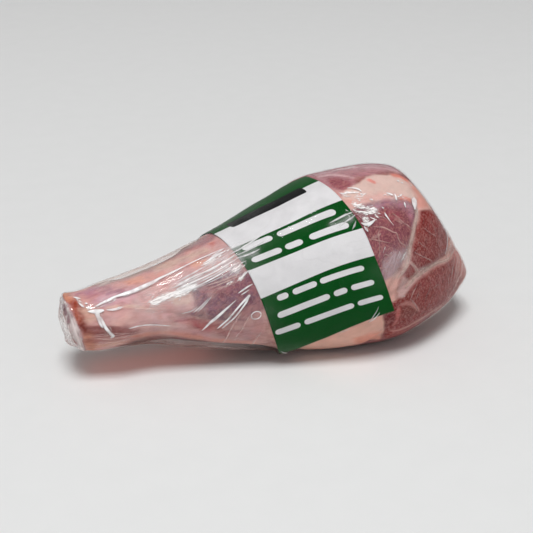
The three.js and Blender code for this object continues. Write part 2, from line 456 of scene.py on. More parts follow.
LABEL_ROWS = np.array([  # shank end's x and clock, rump end's x and clock
    (-59, -46, 27, -12),
    (-51.5, -1, 31.5, 4.5),
    (-44, 30, 41.4, 29.5),
    (-36, 55.5, 51.3, 51),
    (-28.4, 81, 58, 68.5),
    (-19, 113, 67, 87),
    (-8, 146, 76.5, 106.5),
], float)
LABEL_SAG = (3, -8)  # degrees by which the middle of its top and of its foot lie further round
LABEL_CORNER_LIFT, LABEL_CORNER_REACH = 3, 0.16
LABEL_THICKNESS = 0.25
LABEL_ABOVE = 0.65  # of the paper's back over the leg's outer form
LABEL_WAVES = [(0.30, (26, 40, 14), 3), (0.14, 9, 4)]


def label_place(along, down):
    """Station, clock angle and corner curl of a place on the label."""
    rows = np.arange(len(LABEL_ROWS)) / (len(LABEL_ROWS) - 1)
    shank_x, shank_clock, rump_x, rump_clock = (smooth_through(rows, column, down) for column in LABEL_ROWS.T)
    sag = LABEL_SAG[0] + (LABEL_SAG[1] - LABEL_SAG[0]) * down**2
    x = shank_x + (rump_x - shank_x) * along
    clock = shank_clock + (rump_clock - shank_clock) * along + sag * 4 * along * (1 - along)
    curl = smoothstep(1 - LABEL_CORNER_REACH, 1, down) * (1 - smoothstep(0, 2 * LABEL_CORNER_REACH, along))
    return x, clock, curl


def label_rise(along, down):
    """Height of the label's back over the leg: its lie, its curled corner and its soft waves."""
    x, clock, curl = label_place(along, down)
    return LABEL_ABOVE + lumps(smooth_point(x, clock), *LABEL_WAVES) + LABEL_CORNER_LIFT * curl


def label_point(along, down, above):
    x, clock, _ = label_place(along, down)
    p = smooth_point(x, clock)
    return p + outward(x, clock) * (swell_at(p) + label_rise(along, down) + above)[..., None]


# ------------------------------------------------------------------ film's form

FILM_FLOOR = 0.15  # the film lies this high over the table
FILM_IN_SEAMS = 0.75  # of the seams' depth is followed by the film
LABEL_COVER = 0.3  # the film's height over the label's face
FILM_TENT = (0.9, 4.5)  # the film comes down from the label's edge between these distances
TENT_GRID = (90, 150)  # places on the label, along and down, that hold the film up
TENSION_FOLDS = [  # long soft folds in the film: height, half-width, path
    (0.55, 1.7, [(-150, 39), (-134, 37), (-119, 37), (-107, 33), (-87, 29), (-68, 27.5), (-38, 30)]),
    (0.4, 1.2, [(-92, 48), (-74, 45), (-59, 43), (-41, 42)]),
    (0.4, 1.2, [(-89, 51), (-71, 49), (-56, 47), (-40, 46)]),
    (0.4, 1.2, [(-86, 55), (-67, 53), (-52, 51), (-38, 49)]),
    (0.45, 1.4, [(-95, 46), (-77, 41), (-62, 38), (-45, 34)]),
    (0.5, 1.4, [(-72, 106), (-59, 89), (-46, 77)]),
    (0.4, 1.2, [(-59, 106), (-48, 91), (-37, 77)]),
    (0.35, 1.2, [(-79, 83), (-72, 76), (-65, 69)]),
    (0.45, 1.4, [(155, 49), (154, 72), (148, 85)]),
    (0.45, 1.4, [(165, 59), (161, 94), (151, 118)]),
    (0.45, 1.4, [(166, 68), (169, 98), (159, 129), (146, 138)]),
]
FOLD_FADES = (0.12, 0.85)
SHANK_FILM = (-40, -90)  # between these stations the film starts to ripple along the shank
SHANK_RIPPLE = (0.25, (40, 7, 7), 5)
FILM_UNEVEN = (0.12, (9, 6, 6), 6)
FILM_DOME, DOME_TOP_FLATTER, DOME_TOP = 7.8, 0.6, (2, 16)
END_LOBE, LOBE_PLACE, LOBE_REACH = 3.4, (0, -17), 5.5  # one muscle swells out at the foot
LOBE_FADES = (1, 0.8)  # shares of the way to the rim between which it comes in
FILM_END_SHARES = np.linspace(0.05, 1, 16)  # of the way from the end's middle to its rim
FILM_RIM_TURNS = np.radians(np.linspace(12, 80, 8))
PLEAT_WANDER = (0.5, 11, 8)
PLEATS, PLEAT_DEPTH, PLEAT_SHARPNESS = 8.5, 0.7, 0.7
PLEAT_LUMPS = [(0.6, 5, 9), (0.9, 9, 10)]
PLEAT_FADES = (0.35, 0.75)


def label_cover():
    """A tree of places on the label, with the height that the film needs there."""
    along, down = (a.ravel() for a in np.meshgrid(*(np.linspace(0, 1, count) for count in TENT_GRID)))
    p = smooth_point(*label_place(along, down)[:2])
    tree = KDTree(len(p))
    for i, q in enumerate(p):
        tree.insert(q, i)
    tree.balance()
    return tree, label_rise(along, down) + LABEL_THICKNESS + LABEL_COVER


COVER_TREE, COVER_HEIGHT = label_cover()


def label_nearness(p):
    """Share of the film's lift by the label at each point, and the lift's full height there."""
    found = [COVER_TREE.find(q) for q in p.reshape(-1, 3)]
    near = np.array([f[2] for f in found]).reshape(p.shape[:-1])
    height = COVER_HEIGHT[[f[1] for f in found]].reshape(p.shape[:-1])
    return 1 - smoothstep(*FILM_TENT, near), height


def film_height(p):
    """Height of the film over the smooth form."""
    share, lift = label_nearness(p)
    height = swell_at(p) - FILM_IN_SEAMS * groove_at(p) + share * lift
    for rise, half, path in TENSION_FOLDS:
        distance, where = path_distance(p, path)
        height = height + rise * bell(distance, half) * fading(where, *FOLD_FADES)
    height = height + smoothstep(*SHANK_FILM, p[..., 0]) * lumps(p, SHANK_RIPPLE)
    return height + lumps(p, FILM_UNEVEN)


def film_point(x, clock, above=0.0):
    p = smooth_point(x, clock)
    p = p + outward(x, clock) * (film_height(p) + above)[..., None]
    p[..., 2] = np.maximum(p[..., 2], FILM_FLOOR + above)
    return p


def end_dome(share, clock):
    """How far the cut end swells out: flatter towards the top, with a lobe at the foot."""
    half = SAWN_HALF * share
    across, up = -half * np.sin(np.radians(clock)), half * np.cos(np.radians(clock))
    from_lobe = np.hypot(across - LOBE_PLACE[0], up - LOBE_PLACE[1])
    lobe = END_LOBE * bell(from_lobe, LOBE_REACH) * smoothstep(*LOBE_FADES, share)
    return FILM_DOME * (1 - share**2) * (1 - DOME_TOP_FLATTER * smoothstep(*DOME_TOP, up)) + lobe


def film_end(clock):
    """Rows of the film bunched over the sawn end: a dome with irregular radial pleats."""
    rim_share = 1 - RIM_ROUND / SAWN_HALF
    rows = []
    for share in rim_share * FILM_END_SHARES:
        p = smooth_point(FIRST_X, clock, share)
        wander = PLEATS * (np.radians(clock) + lumps(p, PLEAT_WANDER))
        pleat = PLEAT_DEPTH * np.abs(np.sin(wander)) ** PLEAT_SHARPNESS + lumps(p, *PLEAT_LUMPS)
        p[..., 0] -= end_dome(share, clock)
        p[..., 0] -= pleat * fading(share, *PLEAT_FADES)
        rows.append(p)
    for turn in FILM_RIM_TURNS:
        share = rim_share + (1 - rim_share) * math.sin(turn)
        p = smooth_point(FIRST_X, clock, share)
        p[..., 0] += RIM_ROUND * (1 - math.cos(turn)) - end_dome(share, clock)
        rows.append(p)
    return rows


# ------------------------------------------------------------------ meat's form

MEAT_BELOW, SIDE_BELOW = 0.6, 0.9  # of the meat under the film at the sawn rim and elsewhere
MEAT_FLOOR, RELIEF_FLOOR = 0.55, 0.45  # least height over the table, before and after the relief
MEAT_IN_SEAMS, SEAMS_NARROWED = 1.1, 0.8
MEAT_LUMPS = [(0.21, (13, 9, 9), 41), (0.072, 3.5, 42)]
RELIEF_GAIN, RELIEF_LEVEL = 0.6, 0.4
FACE_SET_BACK, FACE_ROUND = 1.0, 3.0
FACE_SHARES = np.linspace(0.06, 1, 18)  # of the way from the sawn face's middle to its rim
FACE_RIM_TURNS = np.radians(np.linspace(15, 75, 5))
FACE_LUMPS = [(0.5, 6, 51), (0.25, 2.4, 52)]
LABEL_PRESSED = 0.9  # the meat lies this much closer to the label's back
END_BELOW = 0.9  # of the cut muscle under the film's dome
MUSCLE_BULGE = 0.7  # of the dome's height is filled by the cut muscle
BULGE_WHOLE = 0.8  # of the way to the rim is as far as it is whole
BONE_RADIUS, BONE_PROUD = 9.2, 4.6
BONE_MIDDLE = (5, -4)  # across and up from the middle of the sawn face
MEAT_MEETS_BONE = (BONE_RADIUS - 2.4, BONE_RADIUS - 0.4)
HOLLOWS = [  # where the film bridges from muscle to muscle: depth, reach across, path
    (2.6, 13, [(-137, -24), (-118, -25), (-95, -26), (-72, -27)]),
    (4.5, 15, [(-120, 157), (-90, 156), (-50, 157), (-5, 158)]),
]
HOLLOW_FADES = (0.25, 0.8)


def hollow_at(p):
    total = 0
    for depth, reach, path in HOLLOWS:
        d, where = path_distance(p, path)
        total = total + depth * bell(d, reach) * fading(where, *HOLLOW_FADES)
    return total


def meat_point(x, clock):
    p = smooth_point(x, clock)
    seams = MEAT_IN_SEAMS * groove_at(p, SEAMS_NARROWED)
    below = SIDE_BELOW + hollow_at(p) - lumps(p, *MEAT_LUMPS)
    height = swell_at(p) - seams - below + LABEL_PRESSED * label_nearness(p)[0]
    p = p + outward(x, clock) * height[..., None]
    p[..., 2] = np.maximum(p[..., 2], MEAT_FLOOR)
    return p


def meat_end(clock):
    """Rows of the sawn face, which bulges round the bone, and of its rounded rim."""
    rim_share = 1 - (FACE_ROUND + MEAT_BELOW) / SAWN_HALF
    rows = []
    for share in rim_share * FACE_SHARES:
        p = smooth_point(FIRST_X, clock, share)
        bulge = MUSCLE_BULGE * (end_dome(share, clock) - END_BELOW + lumps(p, *FACE_LUMPS))
        bulge *= smoothstep(rim_share, BULGE_WHOLE * rim_share, share)
        from_bone = length(off_middle(p) - BONE_MIDDLE)
        p[..., 0] += FACE_SET_BACK - bulge * smoothstep(*MEAT_MEETS_BONE, from_bone)
        rows.append(p)
    for turn in FACE_RIM_TURNS:
        share = rim_share + (FACE_ROUND / SAWN_HALF) * math.sin(turn)
        p = smooth_point(FIRST_X, clock, share)
        p[..., 0] += FACE_SET_BACK + FACE_ROUND * (1 - math.cos(turn))
        rows.append(p)
    return rows


# ------------------------------------------------------------------ meat's colours

MEAT_BASE, COVER_TONE, COVER_SHARE, COVER_RELIEF = (134, 80, 82), (206, 168, 156), 0.8, 0.3
MEAT_GAIN = 1.12  # of all its colours, for what the film takes
FAR_COVER = [(0.5, (34, 26, 22), 21), (0.3, (14, 9, 9), 22), (0.3, (9, 3, 3), 23), (0.2, 2.6, 24)]
FAR_COVER_LEVELS = (-0.35, 0.5)
PATCH_EDGE = [(0.7, 7, 31), (0.3, 2.6, 32)]
PATCHES = [  # name, colour, fat, relief, softness, wobble, outline of [x, clock]
    ("shank", (192, 148, 145), 0.85, 0, 9, 6,
     [(-190, -100), (-62, -100), (-46, -20), (-40, 40), (-24, 100), (-30, 180), (-190, 180)]),
    ("web top", (176, 142, 132), 0.4, 0, 3, 3,
     [(-142, -8), (-121, 0), (-109, 5), (-96, 4), (-83, -4), (-78, -34), (-110, -46), (-142, -40)]),
    # painted shade: the meat under the shank's bottom web, darkened
    ("web bottom", (104, 66, 62), 0.3, 0, 2.5, 2,
     [(-138, 124), (-116, 123), (-100, 120), (-85, 126), (-69, 132), (-53, 136), (-25, 143), (0, 152),
      (0, 176), (-60, 176), (-136, 168)]),
    ("top pink", (204, 156, 152), 0.9, 0.1, 4, 3,
     [(-166, -20), (-146, -8), (-128, -2), (-104, 8), (-84, 14), (-70, 28), (-100, 30), (-127, 20),
      (-150, 12)]),
    ("top orange", (210, 152, 136), 0.9, 0.2, 3, 3,
     [(-124, 9), (-109, 9), (-95, 18), (-98, 27), (-111, 27), (-121, 23)]),
    ("top purple", (180, 128, 142), 0.75, 0.1, 3, 3,
     [(-157, -4), (-142, -10), (-132, 4), (-131, 17), (-140, 24), (-151, 14)]),
    ("flank lilac", (196, 154, 162), 0.85, 0.1, 3, 3,
     [(-150, 26), (-134, 20), (-118, 28), (-112, 44), (-124, 52), (-142, 44)]),
    ("flank pink", (206, 160, 156), 0.85, 0, 4, 4,
     [(-116, 34), (-98, 30), (-86, 44), (-94, 58), (-106, 66), (-118, 56)]),
    ("beige band", (198, 166, 154), 0.8, 0.1, 3, 2,
     [(-105, 3), (-92, -1), (-77, 6), (-59, 12), (-59, 20), (-74, 19), (-89, 17), (-100, 16)]),
    ("front beige", (192, 158, 144), 0.85, 0.1, 3, 3,
     [(-160, 36), (-153, 37), (-146, 46), (-147, 62), (-155, 66), (-159, 54)]),
    ("dark low", (140, 88, 86), 0.6, 0, 4, 5,
     [(-157, 76), (-143, 80), (-130, 90), (-117, 101), (-124, 108), (-142, 102), (-156, 94)]),
    ("low fat", (196, 148, 134), 0.9, 0.2, 3, 3,
     [(-162, 112), (-140, 112), (-122, 111), (-104, 110), (-110, 118), (-140, 124), (-164, 128)]),
    ("neck low", (178, 136, 133), 0.7, 0, 4, 4,
     [(-98, 72), (-80, 82), (-60, 98), (-30, 100), (-20, 120), (-40, 132), (-66, 118), (-92, 96)]),
    ("mauve muscle", (116, 74, 90), 0.1, 0.5, 1.6, 2,
     [(-78, 58), (-65, 52), (-53, 49), (-42, 52), (-32, 64), (-27, 90), (-41, 98), (-56, 98), (-71, 94),
      (-81, 85), (-76, 72)]),
    ("mauve dark", (116, 62, 82), 0.1, 0.3, 2.5, 2.5,
     [(-54, 58), (-44, 54), (-33, 60), (-30, 74), (-40, 78), (-52, 72)]),
    ("pale patch", (206, 178, 166), 0.9, 0.3, 2, 2,
     [(-96, 60), (-88, 58), (-79, 61), (-77, 69), (-82, 74), (-92, 73)]),
    ("pale patch low", (196, 160, 156), 0.7, 0.2, 3, 2,
     [(-97, 70), (-82, 73), (-77, 76), (-80, 81), (-92, 80)]),
    ("brown top", (152, 106, 112), 0.1, 0.1, 2.5, 2,
     [(-84, -8), (-76, -30), (-64, -24), (-54, -13), (-51, 2), (-60, 5), (-71, 2)]),
    ("orange spot", (206, 152, 134), 0.9, 0.3, 1.6, 1.5,
     [(-75, 27), (-69, 24), (-62, 27), (-60, 32), (-66, 35), (-73, 33)]),
    ("red spot", (190, 110, 92), 0.6, 0, 1.5, 1, [(-58, 6), (-54, 8), (-53, 13), (-57, 18)]),
    ("red strip", (150, 78, 80), 0.1, 0.1, 2.2, 2,
     [(-92, 93), (-80, 92), (-68, 97), (-58, 106), (-50, 113), (-52, 118), (-66, 112), (-82, 103)]),
    ("salmon strip", (200, 140, 126), 0.9, 0.3, 2.2, 2,
     [(-127, 110), (-111, 110), (-98, 108), (-85, 110), (-70, 119), (-54, 126), (-33, 131), (-22, 139),
      (-59, 134), (-85, 124), (-101, 117), (-117, 121)]),
    ("far thigh fat", (216, 184, 172), 1.0, 0.6, 5, 6,
     [(-40, 196), (10, 188), (60, 190), (112, 204), (134, 226), (112, 244), (70, 240), (16, 234),
      (-30, 226)]),
    ("far muscle", (132, 66, 70), 0.0, 0.4, 2.4, 3,
     [(24, 250), (62, 246), (104, 254), (130, 270), (122, 292), (92, 304), (52, 302), (22, 282)]),
    ("far muscle violet", (158, 108, 122), 0.2, 0.2, 4, 3,
     [(30, 272), (60, 284), (96, 292), (84, 304), (46, 300), (26, 288)]),
    ("far rump muscle", (126, 52, 52), 0.0, 0.4, 2.0, 3,
     [(138, 222), (160, 226), (180, 244), (180, 280), (158, 300), (138, 290), (134, 262), (122, 240)]),
    ("far silver skin", (184, 150, 154), 0.6, 0.2, 4, 4,
     [(-58, 268), (-20, 254), (14, 254), (12, 280), (-14, 300), (-50, 296)]),
    ("far top fat", (214, 180, 168), 1.0, 0.5, 4, 5,
     [(-10, 300), (40, 310), (100, 312), (136, 306), (150, 326), (118, 346), (60, 338), (6, 330),
      (-24, 318)]),
    ("far shank fat", (210, 168, 154), 0.9, 0.3, 5, 5,
     [(-160, 214), (-120, 208), (-70, 212), (-40, 226), (-60, 244), (-110, 240), (-156, 244)]),
    ("far shank muscle", (160, 108, 116), 0.4, 0.2, 4, 4,
     [(-150, 262), (-110, 256), (-70, 262), (-64, 290), (-100, 298), (-146, 294)]),
    ("back top", (166, 116, 124), 0.2, 0.2, 4, 5,
     [(10, -70), (70, -66), (118, -60), (112, -20), (100, 6), (79, 10), (62, 12), (50, 24), (30, 24)]),
    ("back top dark", (140, 78, 88), 0.1, 0.2, 2, 3,
     [(38, -2), (44, 2), (52, 12), (52, 18), (44, 20), (38, 14)]),
    ("by the label", (196, 150, 146), 0.6, 0.1, 2, 2, [(32, 12), (40, 18), (46, 22), (43, 27), (40, 30)]),
    ("fat pad", (208, 180, 171), 1.0, 0.7, 1.6, 2.2,
     [(40, 29), (43, 25), (49, 21), (56, 18), (60, 15), (67, 12), (75, 12), (84, 14), (92, 13), (102, 14),
      (112, 18), (124, 28), (128, 41), (116, 43), (106, 43), (101, 36), (92, 35), (80, 34.5), (69, 34.5),
      (58, 35), (46, 37)]),
    ("fat blush", (208, 150, 138), 0.9, 0, 5, 3,
     [(100, 16), (112, 20), (122, 32), (124, 42), (108, 42), (106, 30)]),
    ("fat blush low", (208, 164, 156), 0.9, 0, 4, 3,
     [(44, 32), (60, 29), (84, 31), (84, 35), (60, 36), (46, 36)]),
    ("muscle a", (122, 68, 78), 0.0, 0.3, 1.6, 1.2,
     [(44, 40), (54, 35.5), (64, 35), (80, 35), (89, 35.5), (101, 39), (104, 44), (100, 53), (96, 59),
      (92, 67), (87, 75), (79, 80), (72, 85), (60, 88), (50, 60)]),
    # the top of muscle a, lighter and violet: the muscle's colour with a painted sheen
    ("muscle a violet", (158, 104, 122), 0.1, 0.1, 3, 3,
     [(56, 38), (66, 35), (80, 35), (92, 36), (101, 41), (102, 52), (98, 55), (92, 44), (80, 39), (66, 41)]),
    ("muscle a red", (134, 66, 76), 0.0, 0.1, 3, 3,
     [(64, 42), (74, 40), (84, 43), (88, 50), (78, 51), (66, 48)]),
    ("silver skin", (160, 132, 138), 0.3, 0, 3, 3,
     [(62, 80), (66, 74), (76, 69), (88, 68), (92, 70), (86, 77), (79, 81), (71, 86), (63, 88)]),
    ("muscle b", (124, 46, 44), 0.0, 0.3, 1.3, 1.0,
     [(109, 44), (121, 42), (134, 47), (147, 56), (153, 69), (151, 83), (136, 85), (127, 85), (119, 85.5),
      (103, 83.5), (101, 85), (94, 88), (89, 86.5), (90, 80), (96, 70), (102, 60), (106, 51)]),
    ("muscle c", (126, 50, 48), 0.0, 0.3, 1.6, 1.2,
     [(112, 91), (123, 89), (135, 88), (150, 88), (168, 80), (180, 90), (178, 120), (168, 138), (150, 142),
      (125, 142), (99, 144), (80, 142), (71, 130), (70, 104), (80, 99), (88, 98), (96, 92), (103, 91)]),
    ("tip", (176, 112, 106), 0.3, 0.1, 6, 4,
     [(158, 68), (182, 66), (184, 140), (172, 142), (166, 112), (160, 88)]),
    ("upper lump", (118, 40, 42), 0.0, 0.7, 1.2, 1,
     [(70, 101), (78, 100), (83, 103), (82, 107), (76, 107), (70, 106)]),
    ("lower lump", (98, 26, 30), 0.0, 0.9, 1.6, 1,
     [(68, 111), (73, 107), (79, 110), (80, 116), (78, 122), (73, 124), (68, 118)]),
    ("pink strip", (172, 90, 86), 0.2, 0.4, 1.4, 1,
     [(79, 106), (83, 106), (84, 113), (82, 121), (79, 123), (80, 114)]),
    ("sub muscle", (116, 54, 50), 0.0, 0.6, 1.4, 1,
     [(85, 106), (96, 107), (104, 113), (103, 117), (95, 118), (84, 115)]),
    ("low fat pad", (214, 168, 152), 1.0, 0.6, 1.8, 2,
     [(6, 140), (20, 128), (34, 118), (55, 110), (66, 108), (70, 117), (73, 129), (74, 142), (48, 150),
      (16, 160)]),
    ("low fat blush", (212, 144, 126), 0.9, 0, 4, 2,
     [(48, 130), (60, 126), (70, 128), (73, 140), (56, 146)]),
    ("peach triangle", (206, 160, 150), 1.0, 0.2, 1.8, 1.2,
     [(62, 86), (70, 84), (77, 82), (84, 82.5), (81, 88), (80, 93), (78, 99), (72, 101), (66, 98)]),
    ("grey facet", (190, 156, 152), 0.8, 0.2, 1.4, 1,
     [(85, 85), (90, 87.5), (96, 89.5), (103, 87), (108, 89), (100, 92), (94, 94), (90, 96), (85, 99),
      (81, 98), (81, 92)]),
    ("silver facet", (170, 138, 136), 0.5, 0.1, 1.6, 1,
     [(106, 84), (114, 84.5), (121, 86), (116, 87.5), (107, 86.5)]),
]
STROKE_EDGE = (0.5, 4, 34)
STROKES = [  # colour, fat, opacity, half-width at both ends, path of [x, clock]
    ((190, 160, 152), 1, 0.95, (1.7, 2.2),  # seam between a and b
     [(105.5, 43), (104, 50), (99.5, 56), (97.5, 61), (95, 66), (92, 72), (87.5, 78), (84, 81), (80, 84)]),
    ((212, 182, 172), 1, 0.6, (0.8, 0.9),  # seam's bright edge
     [(107.5, 43), (106, 50), (102, 56), (100, 62), (98, 66.5), (94.5, 73.5), (90, 79)]),
    ((192, 158, 150), 1, 0.95, (2.2, 1.3),  # seam between b and c
     [(97, 90), (104, 88.5), (112, 87.5), (120, 87.3), (127, 86.5), (136, 86), (146, 86.5), (154, 86),
      (161, 81), (168, 72)]),
    ((186, 152, 146), 1, 0.85, (0.5, 1.5), [(95, 77.5), (100, 81), (103, 84), (107, 87)]),  # spike
    ((150, 106, 106), 0.3, 0.55, (0.7, 0.7), [(84, 84), (81, 89), (80, 94), (79, 98)]),  # divide
    ((190, 136, 128), 0.6, 0.7, (0.9, 0.6),  # sub arc
     [(84, 104), (90, 104), (96, 106.5), (100, 110), (104, 115)]),
    ((182, 136, 126), 1, 0.75, (0.9, 0.9),  # low line
     [(70, 125), (84, 129.5), (94, 129), (106, 128), (120, 129), (134, 133)]),
    ((212, 130, 122), 0.7, 0.85, (0.9, 0.7), [(68, 16.5), (71, 19.5)]),  # fat red a
    ((214, 122, 106), 0.7, 0.85, (2.2, 1.8), [(91, 13.5), (97, 14), (101, 17)]),  # fat red b
    ((210, 128, 112), 0.7, 0.8, (1.1, 1.0), [(89, 34), (94, 34.6), (98, 36)]),  # fat red c
    ((208, 146, 136), 0.7, 0.5, (1.6, 1.2), [(41, 29.5), (47, 31)]),  # fat red d
    ((206, 172, 172), 0.6, 0.6, (0.9, 0.7), [(36, -5), (44, -2), (50, 4), (57, 10)]),  # back streak a
    ((198, 158, 162), 0.6, 0.6, (1.4, 0.8), [(60, -8), (74, -1), (86, 4), (98, 6)]),  # back streak b
    ((134, 76, 88), 0.1, 0.5, (1.2, 1.0), [(66, -2), (80, -6), (96, -4), (108, 2)]),  # back streak c
    ((216, 180, 164), 1, 0.7, (0.8, 0.6),  # tendon
     [(-139, 48), (-131, 53.5), (-120, 60.5), (-109, 72), (-95, 82), (-86, 87), (-70, 96), (-60, 106),
      (-50, 116)]),
    ((146, 96, 94), 0, 0.5, (0.8, 0.8),  # tendon shade
     [(-116, 70), (-104, 80), (-88, 90), (-72, 98), (-58, 110)]),
    ((142, 104, 108), 0, 0.55, (0.8, 0.8), [(-80, 58), (-77, 64), (-76, 71), (-74, 76)]),  # patch edge
    ((160, 104, 96), 0.3, 0.6, (1.2, 1.2),  # meat's low edge
     [(-132, 121), (-116, 122), (-100, 119), (-85, 125), (-69, 130), (-53, 134), (-37, 137), (-25, 141)]),
    ((150, 98, 122), 0.2, 0.6, (0.7, 0.7), [(-137, 24), (-130, 25), (-125, 31), (-129, 35)]),  # vein a
    ((156, 104, 124), 0.2, 0.5, (0.8, 0.6), [(-157, 6), (-155, -1), (-152, -8)]),  # vein b
    ((160, 106, 122), 0.2, 0.5, (0.7, 0.6), [(-150, 18), (-140, 15), (-132, 20)]),  # vein c
    ((186, 108, 100), 0.3, 0.6, (1.6, 1.6), [(-97, 33), (-94, 33.5), (-95, 40)]),  # red a
    ((180, 108, 106), 0.3, 0.5, (1.4, 1.4), [(-114, 47), (-113, 54)]),  # red b
    ((186, 110, 102), 0.3, 0.5, (1.3, 1.3), [(-104, 78), (-103, 85)]),  # red c
    ((204, 138, 110), 0.5, 0.8, (3.4, 3.0),  # rim top
     [(-164.5, -40), (-164, -10), (-163.5, 4), (-161.5, 14)]),
    ((160, 80, 60), 0.2, 0.9, (1.7, 1.3),  # rim red
     [(-160, 20), (-160.6, 30), (-161, 42), (-161.4, 54), (-161, 66)]),
    ((138, 54, 36), 0.2, 0.8, (2.2, 1.4), [(-159.4, 24), (-159.8, 31)]),  # rim red spot
    ((100, 34, 30), 0.5, 0.95, (2.3, 2.6), [(-160.2, 70), (-158.8, 76), (-158, 84)]),  # rim dark
    ((112, 52, 50), 0.5, 0.7, (0.9, 0.7),  # rim dark streak a
     [(-157, 74), (-151, 77), (-143, 82), (-135, 87)]),
    ((116, 56, 54), 0.5, 0.6, (0.8, 0.8),  # rim dark streak b
     [(-157, 86), (-150, 88), (-142, 92), (-133, 95)]),
    ((132, 66, 52), 0.5, 0.4, (0.9, 0.8), [(-158.6, 44), (-157.6, 52), (-158.6, 60)]),  # rim speck a
    ((136, 70, 56), 0.5, 0.4, (0.8, 0.7), [(-157, 28), (-156, 34), (-156.6, 40)]),  # rim speck b
    ((190, 128, 106), 0.4, 0.85, (3.4, 3.0),  # rim low
     [(-158.5, 96), (-159, 120), (-161, 150), (-162, 190)]),
    ((150, 88, 80), 0.3, 0.6, (1.8, 1.4), [(-158, 102), (-150, 102), (-142, 105)]),  # low brown
    ((186, 126, 106), 0.4, 0.7, (2.4, 2.4),  # rim back
     [(-161, 190), (-161, 240), (-162, 290), (-162, 322)]),
]
FAR_SEAM_TONE, FAR_SEAM_SHARE, FAR_SEAM_EDGE = (210, 176, 164), 0.8, (0.8, 5, 33)
FAR_SEAMS = [  # fat lines on the far side and underneath: half-width, path of [x, clock]
    (2.2, [(-130, 300), (-80, 290), (-30, 280), (30, 262), (90, 250), (140, 262)]),
    (1.8, [(-60, 235), (0, 222), (60, 220), (110, 232), (140, 244)]),
    (1.8, [(50, 330), (90, 322), (125, 306), (150, 290)]),
    (1.4, [(-150, 250), (-110, 248), (-60, 235)]),
]
GRAIN_HEADINGS = {  # how the muscles' fibres run, in degrees from +X towards a greater clock angle
    "muscle a": -50, "silver skin": -62, "muscle b": -65, "muscle c": -38, "tip": -70,
    "far muscle": 40, "far muscle violet": 40, "far rump muscle": 60, "far silver skin": 24,
    "far shank muscle": 10, "mauve muscle": -28, "mauve dark": -28, "low fat pad": -20, "fat pad": 20,
    "back top": 12,
}
WEAVE_CLOCK, HEADING_SHIFT = 60, 7  # where the weave is unrolled from; degrees for 1 mm of depth
MOTTLES = [  # colour, share, lump sizes, level where it starts
    ((208, 134, 126), 0.22, (13, 7, 7), 0.05),
    ((166, 118, 138), 0.20, (10, 6, 6), 0.12),
    ((216, 182, 168), 0.24, (9, 6, 6), 0.10),
    ((148, 80, 80), 0.28, (5, 3, 3), 0.24),
]
MOTTLE_SOFT, MOTTLE_SEED = 0.45, 71
MOTTLE_LEAST, MOTTLE_STATIONS = 0.12, (0, -50)  # on the thigh; full on the shank
RIM_MIDDLE, RIM_REACH = 6.8, 4.0
RIM_CRUST, CRUST_SHARE, CRUST_UNEVEN = (178, 124, 106), 0.9, (0.25, 8, 90)
RIM_SPOTS = [  # colour, share, lump sizes, level where it starts
    ((122, 48, 32), 0.9, (2.6, 2.2, 3.6), 0.04),
    ((218, 180, 160), 0.8, (4, 3, 3.6), 0.14),
    ((112, 44, 40), 0.7, (2.4, 2.2, 2.2), 0.25),
]
RIM_SPOT_SOFT, RIM_SPOT_SEED, RIM_FAT = 0.3, 91, 0.6
RIM_TOP, RIM_TOP_SOONER = (20.5, 23.5), 4.5  # heights between which the cut muscle ends sooner
RIM_MIDDLE_LATER, RIM_MIDDLE_REACH = 1.0, 8
# the cut muscle's mauve, painted lighter to stand in for light on the sawn end, which faces away from the
# lamps
FACE_MUSCLE_PAINTED_LIGHTER, FACE_MUSCLE_FAT = (172, 130, 134), 0.1
FACE_EDGE = (4.4, 2.8)  # the cut muscle begins between these stations of the rim
FACE_EDGE_UNEVEN = (0.8, 4, 78)
FACE_SPOTS = [  # colour, how clear the film over it is, place from the middle (across, up), reach
    ((104, 56, 78), 0.80, (-8, 17.5), (5, 3.2)),
    ((92, 46, 68), 0.85, (-13, 15), (4, 3.4)),
    ((108, 62, 80), 0.80, (-17, 11.5), (2.8, 4)),
    ((142, 70, 60), 0.80, (-16.5, -8.5), (4, 5.5)),
    ((158, 96, 84), 0.50, (-2, -17), (5, 4)),
    ((150, 118, 120), 0.50, (4, 14), (7, 6)),
    ((176, 132, 116), 0.40, (14, 2), (6, 8)),
]
SPOT_EDGE, SPOT_TORN, SPOT_SHARE, SPOT_FAT = (1.15, 0.5), (0.45, (3, 2.4, 6), 77), 0.85, 0.2


def blend(values, others, weight):
    """Rows of values mixed with others by a weight for each row."""
    weight = weight[:, None]
    return values * (1 - weight) + others * weight


def coat(tones, fat, weight, tone, fatness):
    """The paint so far with one more coat over it, where it has weight."""
    return blend(tones, linear(*tone), weight), fat * (1 - weight) + fatness * weight


def outline_distance(x, clock, outline):
    """Distance in mm from an outline, below zero inside it."""
    outline = np.asarray(outline, float)
    middle_x, middle_clock = (column.mean() for column in outline.T)
    scale = np.array([1, half_width(middle_x) * UNROLL])
    q = np.stack([x, middle_clock + turn_between(clock, middle_clock)], -1) * scale
    line = outline * scale
    best = np.full(len(q), np.inf)
    inside = np.zeros(len(q), bool)
    for a, b in zip(line, np.roll(line, -1, axis=0)):
        t = np.clip((q - a) @ (b - a) / ((b - a) @ (b - a)), 0, 1)
        best = np.minimum(best, length(q - a - t[:, None] * (b - a)))
        crosses = (a[1] > q[:, 1]) != (b[1] > q[:, 1])
        rise = b[1] - a[1] if b[1] != a[1] else TINY
        inside ^= crosses & (q[:, 0] < (b[0] - a[0]) * (q[:, 1] - a[1]) / rise + a[0])
    return np.where(inside, -best, best)


def weave_at(x, clock, heading):
    """Unrolled place in mm, turned so that its first part runs along the fibres."""
    girth = turn_between(clock, WEAVE_CLOCK) * UNROLL * half_width(x)
    c, s = np.cos(np.radians(heading)), np.sin(np.radians(heading))
    return np.stack([x * c + girth * s, girth * c - x * s, heading / HEADING_SHIFT], -1)


